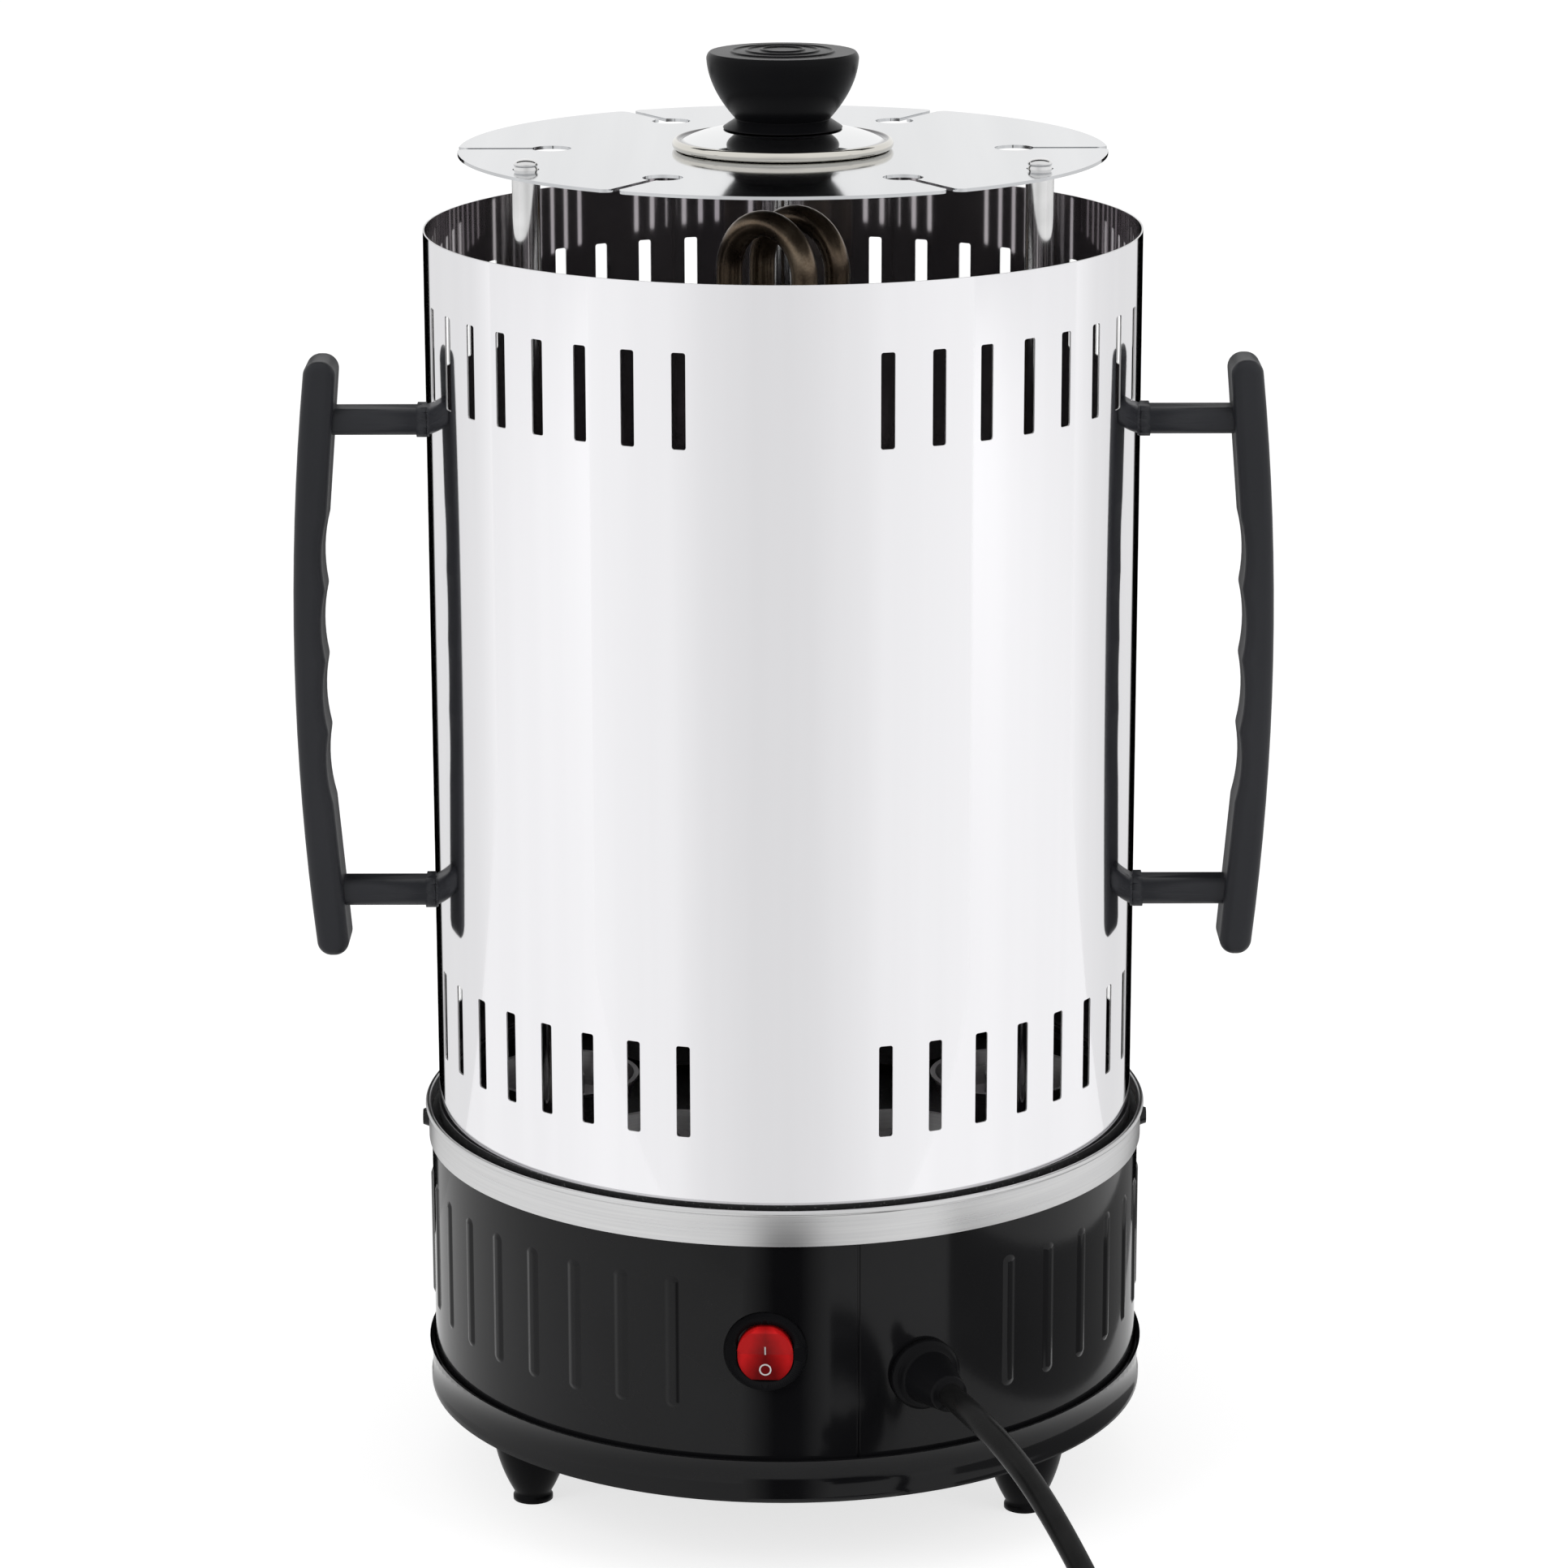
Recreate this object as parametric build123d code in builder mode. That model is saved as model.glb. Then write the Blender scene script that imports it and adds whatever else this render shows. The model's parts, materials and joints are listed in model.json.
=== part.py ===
from build123d import *
import math
import os

os.makedirs("parts", exist_ok=True)

# Millimetres. The floor is z = 0, Z is the axis of the grill, its front faces -Y
# and its handles stand on X. Angles are counted from the front, towards +X.

# Fits
SNUG = 0.02  # radial play of a piece seated on its shaft or in its hole
RUN = 0.05  # radial play of a turning shaft
SEAT = 0.1  # gap between fixed curved faces that lie on each other
PLAY = 0.3  # gap between curved faces that lift apart
SCREW_PLAY = 0.2  # radial play of a screw in its hole
AXIAL_PLAY = 0.1  # end play of a turning piece
PICK_SLACK = 1.0  # corners are picked by their place within this

# Sheets
SHEET = 0.8  # drum, ring and pan walls
CASING_T = 0.5
TRAY_T = 1.0
PLATE_T = 1.5

# Base: feet, pan, drum and ring
FOOT_H = 28.6
FOOT_TOP_R = 12.8
FOOT_NECK_R = 5.7
FOOT_LIP_R = 6.3
FOOT_LIP_H = 2.4
FOOT_INSET = 22.6  # the feet's circle inside the drum's face
BASE_TURN = -3.0  # the base stands turned by this angle under the casing
FOOT_ANGLES = [BASE_TURN - 60, BASE_TURN + 60, BASE_TURN + 180]
FOOT_NAMES = ["foot_left", "foot_right", "foot_rear"]
PAN_H = 12.9  # from the underside to the foot of the flared lip
PAN_LIP_RISE = 0.8
PAN_LIP_OUT = 0.9
PAN_HEM_H = 1.9
PAN_HEM_OUT = 0.5
DRUM_H = 87.4
DRUM_FLANGE_W = 11.0
RIB_H = 41.0
RIB_W = 3.2
RIB_RISE = 0.7
RIB_MID = 48.5  # height of the ribs' middle above the drum's lower edge
RIB_PITCH = 8.57
RIB_FIRST = 14.6  # angle of the first rib beside the front
RIBS_LEFT = 19
RIBS_SKIPPED = 3  # left out on the right, where the seam and the cord are
SEAM_ANGLE = 14.4
SEAM_W = 0.5
SEAM_DEPTH = 0.4
RING_LAP = 6.4  # how far the ring reaches down over the drum
LIP_R = 0.9  # the ring's rolled edge
LIP_DROP = 0.6  # how far the rolled edge stays below the casing's seat

# Tray
GROOVE_W = 2.4  # groove between the casing's seat and the ring
SEAT_EDGE = 0.2  # how far the seat shows outside the casing
SEAT_W = 6.2
SEAT_RISE = 4.6  # height of the seat above the tray's flange
TRAY_DEPTH = 8.6  # floor of the tray below the seat
BEAD_W = 1.4  # the bead that centres the casing
BEAD_H = 1.8

# Casing
CASING_R = 110.0
CASING_H = 277.9
SLOT_W = 4.3
SLOT_H = 28.4
SLOT_CORNER_R = 0.7
SLOT_MARGIN = 20.2
SLOT_PITCH = 15.935  # along the casing's face
SLOTS_PER_GROUP = 8
SLOT_GROUPS = [45, 135, 225, 315]

# Handles
GRIP_H = 190.0
GRIP_T = 10.0
GRIP_D = 20.0
GRIP_OUT = 37.0  # outer side of the grip's ends, from the casing
GRIP_BOW = 5.4  # how far its middle stands further out
GRIP_EDGE_R = 3.2
GRIP_END_R = 4.6
GRIP_MID = 142.4  # above the casing's lower edge
FINGERS = 4
FINGER_PITCH = 22.8
FINGER_DEPTH = 1.3
FINGER_CREST_R = 5.0
ARM_SPACING = 151.0
ARM_H = 8.4
ARM_D = 13.0
ARM_EDGE_R = 3.6
PAD_H = 9.6
PAD_D = 14.2
PAD_T = 3.0
HANDLE_SCREW_R = 2.0
HANDLE_SCREW_L = 14.0
HANDLE_HEAD_R = 3.8
HANDLE_HEAD_H = 2.2

# Posts, disc and knob
POST_R = 4.2
POST_INSET = 22.0  # the posts' circle inside the casing's face
POST_ANGLES = [-60, 60, 180]
POST_NAMES = ["post_left", "post_right", "post_rear"]
POST_TIP_R = 3.7
POST_TIP_H = 3.2  # above the disc
STUD_R = 2.5
STUD_L = 31.5
NUT_R = 4.6
NUT_H = 4.0
DISC_INSET = 11.0  # the disc's edge inside the casing's face
DISC_T = 1.0
DISC_GAP = 22.8  # from the casing's rim to the disc
KEYHOLE_R = 6.0
KEYHOLE_SLOT_W = 2.6
KEYHOLE_MOUTH_R = 3.0
SAUCER_R = 33.8
SAUCER_H = 6.4
SAUCER_T = 1.0
SAUCER_ROLL_R = 1.3
SAUCER_TOP_R = 13.0
KNOB_H = 23.6
KNOB_R = 23.2
KNOB_EDGE_H = 2.6
KNOB_CROWN = 1.0
KNOB_NECK_R = 14.4
KNOB_NECK_H = 1.6
KNOB_LEAN = 0.06  # how far the grip leans inwards right under its edge
KNOB_FOOT_R = 17.8
KNOB_FOOT_H = 0.7
KNOB_SCREW_R = 2.5
KNOB_SCREW_L = 16.0
KNOB_HEAD_R = 5.0
KNOB_HEAD_H = 2.8

# Heater
HEATER_R = 4.0
HEATER_SPREAD = 15.5  # half the distance between a hairpin's legs
HEATER_OFFSET = 7.5  # half the distance between the two hairpins
HEATER_TURN = -42.0
HEATER_TOP_GAP = 17.3  # from the top of the loop to the disc
HEATER_BELOW = 24.0  # leg ends below the tray floor
PIN_R = 1.8
PIN_L = 9.0
MOUNT_R = 23.5
MOUNT_FLANGE_R = 27.0
MOUNT_FLANGE_H = 4.0
MOUNT_BODY_H = 21.0  # below the tray floor
CENTRE_HOLE_PLAY = 0.5

# Gear train
SUN_TEETH = 66
SPINDLE_TEETH = 28
PINION_TEETH = 12
GEAR_W = 6.0
GEAR_RISE = 6.0  # above the plate
TOOTH_SLACK = 0.45  # each tooth is this much thinner than half a pitch
FLANK_ANGLE = 20.0
SPINDLES = 6
GEAR_SPACE = 23.5  # between the plate and the tray
PLATE_GAP = 11.8  # between the gear plate and the drum
SPACER_R = 4.5
BUSH_GAP = 1.0  # between the heater mount and the sun gear's bush
BUSH_WALL = 3.0
BUSH_FLANGE_W = 4.0
RETAINER_W = 3.0
RETAINER_T = 1.0
SHAFT_R = 4.0
JOURNAL_R = 3.0
JOURNAL_L = 1.4
COLLAR_R = 6.0
COLLAR_H = 3.4
TRAY_BUSH_R = 7.0
TRAY_BUSH_FLANGE_R = 9.0
TRAY_BUSH_FLANGE_H = 1.5
TRAY_BUSH_BELOW = 3.0
LEDGE_R = 9.0
LEDGE_H = 1.5
SOCKET_R = 6.5
SOCKET_H = 10.5
SOCKET_BORE_R = 3.0
SOCKET_BORE_L = 10.0
SOCKET_SLOT_W = 2.0
CUP_R = 24.0
CUP_FLOOR_R = 20.0
CUP_H = 11.0
CUP_T = 0.8
CUP_GAP = 15.0  # between the cups and the casing

# Motor
MOTOR_ANGLE = 240.0
MOTOR_R = 25.0
MOTOR_H = 22.0
MOTOR_STEP = 1.5
MOTOR_CAP_H = 7.0
MOTOR_SHAFT_R = 3.5
MOTOR_SHAFT_IN = 13.0
MOTOR_BOSS_PLAY = 1.5
MOTOR_EAR_TURN = 65.0
MOTOR_EAR_OUT = 5.5
MOTOR_EAR_R = 4.5
MOTOR_EAR_T = 2.0
PINION_HUB_R = 6.0

# Switch
SWITCH_ANGLE = BASE_TURN
SWITCH_Z = 77.0
BEZEL_R = 12.7
BEZEL_H = 2.2
BEZEL_TAPER = 22.0
BARREL_R = 10.6
BARREL_L = 20.0
WINDOW_W = 17.4
WINDOW_H = 18.8
WINDOW_CORNER_R = 7.6
POCKET_L = 9.0
ROCKER_PLAY = 0.3
ROCKER_CORNER_R = 8.3
ROCKER_TILT = 20.0
ROCKER_PIVOT_IN = 1.5  # hinge behind the drum's face
ROCKER_FACE_OUT = 1.3
ROCKER_BACK = 3.0
ROCKER_PIN_R = 1.2
ROCKER_PIN_L = 1.0
TERMINAL_W = 6.3
TERMINAL_T = 0.8
TERMINAL_L = 8.0
TERMINAL_SPACING = 7.0

# Gland and cord
CORD_R = 3.75
GLAND_ANGLE = 21.9
GLAND_Z = 67.0
GLAND_FLANGE_R = 11.0
GLAND_FLANGE_T = 3.5
GLAND_NOSE_R = 8.5
GLAND_TIP_R = 5.4
GLAND_NOSE_L = 16.5
GLAND_NECK_R = 7.0
GLAND_COLLAR_R = 9.0
GLAND_COLLAR_T = 3.0
CORD_STRAIGHT = 14.0
TIE_T = 0.7
TIE_W = 6.0
TIE_GAP = 0.4
TURN_GAP = 0.62  # between neighbouring turns of the coil
COIL_X = 57.0
COIL_Y = -236.0
COIL_R = 49.0  # middle of the outermost turn
COIL_TURNS_IN = 2.0
COIL_TURNS_OUT = 1.75

# Plug
PLUG_R = 18.9
PLUG_AXIS_Z = 19.0
PLUG_FACE_L = 9.0
PLUG_GRIP_R = 12.5
PLUG_GRIP_L = 20.0
PLUG_BOOT_R = 8.0
PLUG_BOOT_TIP_R = 5.2
PLUG_BOOT_L = 20.0
PLUG_PIN_R = 2.4
PLUG_PIN_L = 19.0
PLUG_PIN_SPACING = 19.0
PLUG_PIN_SET = 4.0
PLUG_ROOT_R = 1.8

# Small screws of the base
SCREW_R = 2.0
SCREW_HEAD_R = 3.2
SCREW_HEAD_H = 2.0
FOOT_SCREW_L = 11.0
PAN_SCREW_L = 5.0
PAN_SCREW_ANGLES = [BASE_TURN + 30, BASE_TURN + 120, BASE_TURN - 100]
RING_SCREW_ANGLES = [-90, 90]
MOTOR_SCREW_L = 6.0
BLOCK_L = 34.0
BLOCK_W = 16.0
BLOCK_H = 12.0
BLOCK_X = -48.0
BLOCK_Y = 40.0
BLOCK_WAYS = 3
BLOCK_CORNER_R = 1.5

# Heights and radii that follow from the sizes above
pan_z = FOOT_H
drum_z = pan_z + TRAY_T
drum_top = drum_z + DRUM_H
casing_z = drum_top + TRAY_T + SEAT_RISE
casing_top = casing_z + CASING_H
tray_z = casing_z - TRAY_DEPTH - TRAY_T
floor_z = tray_z + TRAY_T
disc_z = casing_top + DISC_GAP
disc_top = disc_z + DISC_T
plate_top = tray_z - GEAR_SPACE
plate_z = plate_top - PLATE_T
gear_z = plate_top + GEAR_RISE
gear_top = gear_z + GEAR_W
drum_r = CASING_R + SEAT_EDGE + GROOVE_W
drum_in = drum_r - SHEET
pan_in = drum_r + PLAY
pan_r = pan_in + SHEET
ring_in = drum_r + SEAT
ring_r = ring_in + SHEET
ring_z = drum_top - RING_LAP
ring_top = casing_z - LIP_DROP
post_circle_r = CASING_R - POST_INSET
disc_r = CASING_R - DISC_INSET
foot_circle_r = drum_r - FOOT_INSET
plate_r = drum_in - PLATE_GAP
skewer_r = CASING_R - CASING_T - CUP_GAP - CUP_R
module = 2 * skewer_r / (SUN_TEETH + SPINDLE_TEETH)  # the tooth size that fits the skewers' circle
bush_bore_r = MOUNT_R + BUSH_GAP
bush_r = bush_bore_r + BUSH_WALL
bush_flange_r = bush_r + BUSH_FLANGE_W
retainer_r = bush_r + RETAINER_W
pinion_centre_r = module * (SUN_TEETH + PINION_TEETH) / 2
skewer_angles = [30 + 360 / SPINDLES * i for i in range(SPINDLES)]
arm_heights = [casing_z + GRIP_MID + s * ARM_SPACING / 2 for s in (-1, 1)]
screw_height = (ring_z + drum_top) / 2


def around(radius, angle, height=0.0):
    """The point at an angle from the front."""
    a = math.radians(angle)
    return Vector(radius * math.sin(a), -radius * math.cos(a), height)


def facing(radius, angle, height):
    """A plane that faces outwards from the axis, its x level and its y up."""
    a = math.radians(angle)
    level = Vector(math.cos(a), math.sin(a), 0)
    return Plane(origin=around(radius, angle, height), x_dir=level, z_dir=around(1, angle))


def edgeways(radius, angle, height, tilt=0.0):
    """A plane through an outward axis, its x up and its y outwards, leant outwards by a tilt."""
    out = around(1, angle)
    up = Vector(0, 0, 1)
    lean = math.radians(tilt)
    return Plane(around(radius, angle, height), up * math.cos(lean) + out * math.sin(lean), up.cross(out))


def turned(outline, centres):
    """Solids turned about upright axes, from an outline of (radius, height) points."""
    with BuildPart() as piece:
        for centre in centres:
            with BuildSketch(Plane((centre.X, centre.Y, 0), (1, 0, 0), (0, -1, 0))):
                with BuildLine():
                    Polyline(*outline, close=True)
                make_face()
            revolve(axis=Axis((centre.X, centre.Y, 0), (0, 0, 1)))
    return piece


def keep(piece, name):
    """Labels a finished piece and writes its file."""
    piece.part.label = name
    export_step(piece.part, f"parts/{name}.step")


axis_centre = [Vector(0, 0, 0)]
post_centres = [around(post_circle_r, a) for a in POST_ANGLES]
skewer_centres = [around(skewer_r, a) for a in skewer_angles]
motor_centre = around(pinion_centre_r, MOTOR_ANGLE)
foot_centres = [around(foot_circle_r, a) for a in FOOT_ANGLES]

# Bottom pan with a hemmed foot and a flared lip
flange_mid_r = drum_r - DRUM_FLANGE_W / 2 - SHEET
pan_screw_centres = [around(flange_mid_r, a) for a in PAN_SCREW_ANGLES]
pan_lip_z = pan_z + PAN_H
with BuildPart() as bottom_pan:
    with BuildSketch(Plane.XZ):
        with BuildLine():
            Polyline(
                (0, pan_z),
                (pan_r + PAN_HEM_OUT, pan_z),
                (pan_r + PAN_HEM_OUT, pan_z + PAN_HEM_H),
                (pan_r, pan_z + PAN_HEM_H + PAN_HEM_OUT),
                (pan_r, pan_lip_z),
                (pan_r + PAN_LIP_OUT, pan_lip_z + PAN_LIP_RISE),
                (pan_r + PAN_LIP_OUT - SHEET, pan_lip_z + PAN_LIP_RISE),
                (pan_in, pan_lip_z + SHEET / 2),
                (pan_in, drum_z),
                (0, drum_z),
                close=True,
            )
        make_face()
    revolve(axis=Axis.Z)
    with Locations(*[(c.X, c.Y, drum_z) for c in foot_centres + pan_screw_centres]):
        Hole(SCREW_R + SCREW_PLAY)
keep(bottom_pan, "bottom_pan")

# Feet: a cupped taper on a flared lip, each on one screw
for name, centre in zip(FOOT_NAMES, foot_centres):
    with BuildPart() as foot:
        with BuildSketch(Plane((centre.X, centre.Y, 0), (1, 0, 0), (0, -1, 0))):
            with BuildLine():
                Line((0, 0), (FOOT_LIP_R, 0))
                Line((FOOT_LIP_R, 0), (FOOT_LIP_R, FOOT_LIP_H / 2))
                Line((FOOT_LIP_R, FOOT_LIP_H / 2), (FOOT_NECK_R, FOOT_LIP_H))
                TangentArc((FOOT_TOP_R, FOOT_H), (FOOT_NECK_R, FOOT_LIP_H), tangent=(0, -1))
                Line((FOOT_TOP_R, FOOT_H), (0, FOOT_H))
                Line((0, FOOT_H), (0, 0))
            make_face()
        revolve(axis=Axis((centre.X, centre.Y, 0), (0, 0, 1)))
        with Locations((centre.X, centre.Y, FOOT_H)):
            Hole(SCREW_R + SNUG, depth=FOOT_SCREW_L + AXIAL_PLAY)
    keep(foot, name)

# Drum of the base: a rolled sheet with an inner flange, pressed ribs and a butt seam
rib_z = drum_z + RIB_MID
left_ribs = [BASE_TURN - RIB_FIRST - RIB_PITCH * i for i in range(RIBS_LEFT)]
right_ribs = [BASE_TURN + RIB_FIRST + RIB_PITCH * i for i in range(RIBS_SKIPPED, RIBS_LEFT)]
rib_planes = [facing(drum_r - SHEET / 2, a, rib_z) for a in left_ribs + right_ribs]
ring_screw_planes = [facing(drum_r, a, screw_height) for a in RING_SCREW_ANGLES]
with BuildPart() as base_drum:
    with BuildSketch(Plane.XZ):
        with BuildLine():
            Polyline(
                (drum_r - DRUM_FLANGE_W, drum_z),
                (drum_r, drum_z),
                (drum_r, drum_top),
                (drum_in, drum_top),
                (drum_in, drum_z + SHEET),
                (drum_r - DRUM_FLANGE_W, drum_z + SHEET),
                close=True,
            )
        make_face()
    revolve(axis=Axis.Z)
    with BuildSketch(*rib_planes):
        SlotOverall(RIB_H, RIB_W, rotation=90)
    extrude(amount=SHEET / 2 + RIB_RISE)
    with BuildSketch(facing(drum_r, BASE_TURN + SEAM_ANGLE, drum_z + DRUM_H / 2)):
        Rectangle(SEAM_W, 2 * DRUM_H)
    extrude(amount=SEAM_DEPTH, both=True, mode=Mode.SUBTRACT)
    with BuildSketch(facing(drum_r, SWITCH_ANGLE, SWITCH_Z)):
        Circle(BARREL_R + SEAT)
    with BuildSketch(facing(drum_r, GLAND_ANGLE, GLAND_Z)):
        Circle(GLAND_NECK_R + SEAT)
    with BuildSketch(*ring_screw_planes):
        Circle(SCREW_R + SCREW_PLAY)
    extrude(amount=4 * SHEET, both=True, mode=Mode.SUBTRACT)
    with Locations(*[(c.X, c.Y, drum_z + SHEET) for c in pan_screw_centres]):
        Hole(SCREW_R + SCREW_PLAY, depth=2 * SHEET)
keep(base_drum, "base_drum")

# Steel ring round the top of the drum, its upper edge rolled
with BuildPart() as rim_ring:
    with BuildSketch(Plane.XZ):
        with BuildLine():
            Polyline(
                (ring_in, ring_z),
                (ring_r, ring_z),
                (ring_r, ring_top - LIP_R),
                (ring_in, ring_top - LIP_R),
                close=True,
            )
        make_face()
        with Locations((ring_in + LIP_R, ring_top - LIP_R)):
            Circle(LIP_R)
    revolve(axis=Axis.Z)
    with BuildSketch(*ring_screw_planes):
        Circle(SCREW_R + SCREW_PLAY)
    extrude(amount=4 * SHEET, both=True, mode=Mode.SUBTRACT)
keep(rim_ring, "rim_ring")

# Drip tray: a pressed floor, the casing's seat with its centring bead, and an outer flange
seat_r = CASING_R + SEAT_EDGE
seat_in = seat_r - SEAT_W
bead_r = CASING_R - CASING_T - PLAY
with BuildPart() as drip_tray:
    with BuildSketch(Plane.XZ):
        with BuildLine():
            Polyline(
                (MOUNT_R + CENTRE_HOLE_PLAY, tray_z),
                (seat_in + TRAY_T, tray_z),
                (seat_in + TRAY_T, casing_z - TRAY_T),
                (seat_r - TRAY_T, casing_z - TRAY_T),
                (seat_r - TRAY_T, drum_top),
                (drum_r, drum_top),
                (drum_r, drum_top + TRAY_T),
                (seat_r, drum_top + TRAY_T),
                (seat_r, casing_z),
                (bead_r, casing_z),
                (bead_r, casing_z + BEAD_H),
                (bead_r - BEAD_W, casing_z + BEAD_H),
                (bead_r - BEAD_W, casing_z),
                (seat_in, casing_z),
                (seat_in, floor_z),
                (MOUNT_R + CENTRE_HOLE_PLAY, floor_z),
                close=True,
            )
        make_face()
    revolve(axis=Axis.Z)
    with Locations(*[(c.X, c.Y, floor_z) for c in post_centres]):
        Hole(STUD_R + SCREW_PLAY)
    with Locations(*[(c.X, c.Y, floor_z) for c in skewer_centres]):
        Hole(TRAY_BUSH_R + SNUG)
keep(drip_tray, "drip_tray")

# Gear plate under the tray, hung from the posts' studs
motor_side = around(1, MOTOR_ANGLE + MOTOR_EAR_TURN)
ear_centres = [motor_centre + motor_side * (s * (MOTOR_R + MOTOR_EAR_OUT)) for s in (-1, 1)]
with BuildPart() as gear_plate:
    with BuildSketch(Plane.XY.offset(plate_z)):
        Circle(plate_r)
        Circle(bush_bore_r, mode=Mode.SUBTRACT)
        with Locations(*[(c.X, c.Y) for c in skewer_centres]):
            Circle(JOURNAL_R + RUN, mode=Mode.SUBTRACT)
        with Locations(*[(c.X, c.Y) for c in post_centres]):
            Circle(STUD_R + SCREW_PLAY, mode=Mode.SUBTRACT)
        with Locations(*[(c.X, c.Y) for c in ear_centres]):
            Circle(SCREW_R + SCREW_PLAY, mode=Mode.SUBTRACT)
        with Locations((motor_centre.X, motor_centre.Y)):
            Circle(MOTOR_SHAFT_R + MOTOR_BOSS_PLAY, mode=Mode.SUBTRACT)
    extrude(amount=PLATE_T)
keep(gear_plate, "gear_plate")

# Posts with a stud below and a domed tip that passes through the disc
for name, centre in zip(POST_NAMES, post_centres):
    with BuildPart() as post:
        with BuildSketch(Plane((centre.X, centre.Y, 0), (1, 0, 0), (0, -1, 0))):
            with BuildLine():
                Polyline(
                    (0, disc_top + POST_TIP_H),
                    (0, floor_z - STUD_L),
                    (STUD_R, floor_z - STUD_L),
                    (STUD_R, floor_z),
                    (POST_R, floor_z),
                    (POST_R, disc_z),
                    (POST_TIP_R, disc_z),
                    (POST_TIP_R, disc_top + POST_TIP_H / 3),
                )
                TangentArc(
                    (0, disc_top + POST_TIP_H), (POST_TIP_R, disc_top + POST_TIP_H / 3), tangent=(1, 0)
                )
            make_face()
        revolve(axis=Axis((centre.X, centre.Y, 0), (0, 0, 1)))
    keep(post, name)

plate_spacers = turned(
    [
        (STUD_R + SCREW_PLAY, plate_top),
        (SPACER_R, plate_top),
        (SPACER_R, tray_z),
        (STUD_R + SCREW_PLAY, tray_z),
    ],
    post_centres,
)
keep(plate_spacers, "plate_spacers")

with BuildPart() as post_nuts:
    with BuildSketch(Plane.XY.offset(plate_z)):
        with Locations(*[(c.X, c.Y) for c in post_centres]):
            RegularPolygon(NUT_R, 6)
            Circle(STUD_R + SNUG, mode=Mode.SUBTRACT)
    extrude(amount=-NUT_H)
keep(post_nuts, "post_nuts")

# Heater: two hairpin tubes in a ceramic mount, with a terminal pin in each leg
heater_axis = Plane.XY.rotated((0, 0, HEATER_TURN))
heater_bottom = tray_z - HEATER_BELOW
heater_bend_z = disc_z - HEATER_TOP_GAP - HEATER_R - HEATER_SPREAD
leg_centres = []
for name, side in (("heater_front", -1), ("heater_rear", 1)):
    foot_point = heater_axis.from_local_coords(Vector(0, side * HEATER_OFFSET, 0))
    loop_plane = Plane(foot_point, heater_axis.x_dir, -heater_axis.y_dir)
    leg_centres += [foot_point + heater_axis.x_dir * (s * HEATER_SPREAD) for s in (-1, 1)]
    with BuildPart() as hairpin:
        with BuildLine(loop_plane) as loop:
            Line((-HEATER_SPREAD, heater_bottom), (-HEATER_SPREAD, heater_bend_z))
            ThreePointArc(
                (-HEATER_SPREAD, heater_bend_z),
                (0, heater_bend_z + HEATER_SPREAD),
                (HEATER_SPREAD, heater_bend_z),
            )
            Line((HEATER_SPREAD, heater_bend_z), (HEATER_SPREAD, heater_bottom))
        with BuildSketch(Plane(loop.line @ 0, z_dir=loop.line % 0)):
            Circle(HEATER_R)
        sweep()
    keep(hairpin, name)

with BuildPart() as heater_mount:
    with BuildSketch(Plane.XY.offset(floor_z)):
        Circle(MOUNT_FLANGE_R)
    extrude(amount=MOUNT_FLANGE_H, taper=15)
    with BuildSketch(Plane.XY.offset(floor_z)):
        Circle(MOUNT_R)
    extrude(amount=-TRAY_T - MOUNT_BODY_H)
    with BuildSketch(Plane.XY.offset(floor_z)):
        with Locations(*[(c.X, c.Y) for c in leg_centres]):
            Circle(HEATER_R + SEAT)
    extrude(amount=TRAY_T + MOUNT_BODY_H + MOUNT_FLANGE_H, both=True, mode=Mode.SUBTRACT)
keep(heater_mount, "heater_mount")

heater_pins = turned(
    [
        (0, heater_bottom),
        (PIN_R, heater_bottom),
        (PIN_R, heater_bottom - PIN_L),
        (0, heater_bottom - PIN_L),
    ],
    leg_centres,
)
keep(heater_pins, "heater_pins")


def gear(teeth, tooth_angle, centre, bore_r):
    """A spur gear with straight-sided teeth, one of them pointing along tooth_angle (from +X)."""
    pitch_r = module * teeth / 2
    root_r = pitch_r - 1.2 * module
    tip_r = pitch_r + 0.9 * module
    half_tooth = (math.pi * module / 2 - TOOTH_SLACK) / 2
    slope = math.tan(math.radians(FLANK_ANGLE))
    root_half = (half_tooth + (pitch_r - root_r) * slope) / root_r
    tip_half = (half_tooth - (tip_r - pitch_r) * slope) / tip_r
    outline = []
    for i in range(teeth):
        middle = math.radians(tooth_angle) + 2 * math.pi * i / teeth
        corners = [(root_r, -root_half), (tip_r, -tip_half), (tip_r, tip_half), (root_r, root_half)]
        for radius, half in corners:
            outline.append((radius * math.cos(middle + half), radius * math.sin(middle + half)))
    with BuildPart() as wheel:
        with BuildSketch(Plane((centre.X, centre.Y, gear_z))):
            with BuildLine():
                Polyline(*outline, close=True)
            make_face()
            if bore_r:
                Circle(bore_r, mode=Mode.SUBTRACT)
        extrude(amount=GEAR_W)
    return wheel


# Sun gear on its bush, with a retaining ring
keep(gear(SUN_TEETH, 0, axis_centre[0], bush_r + RUN), "sun_gear")

sun_bush = turned(
    [
        (bush_bore_r, plate_top),
        (bush_flange_r, plate_top),
        (bush_flange_r, gear_z - AXIAL_PLAY),
        (bush_r, gear_z - AXIAL_PLAY),
        (bush_r, gear_top + 2 * AXIAL_PLAY),
        (bush_bore_r, gear_top + 2 * AXIAL_PLAY),
    ],
    axis_centre,
)
keep(sun_bush, "sun_bush")

retainer_z = gear_top + 2 * AXIAL_PLAY
sun_retainer = turned(
    [
        (bush_bore_r, retainer_z),
        (retainer_r, retainer_z),
        (retainer_r, retainer_z + RETAINER_T),
        (bush_bore_r, retainer_z + RETAINER_T),
    ],
    axis_centre,
)
keep(sun_retainer, "sun_retainer")

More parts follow.
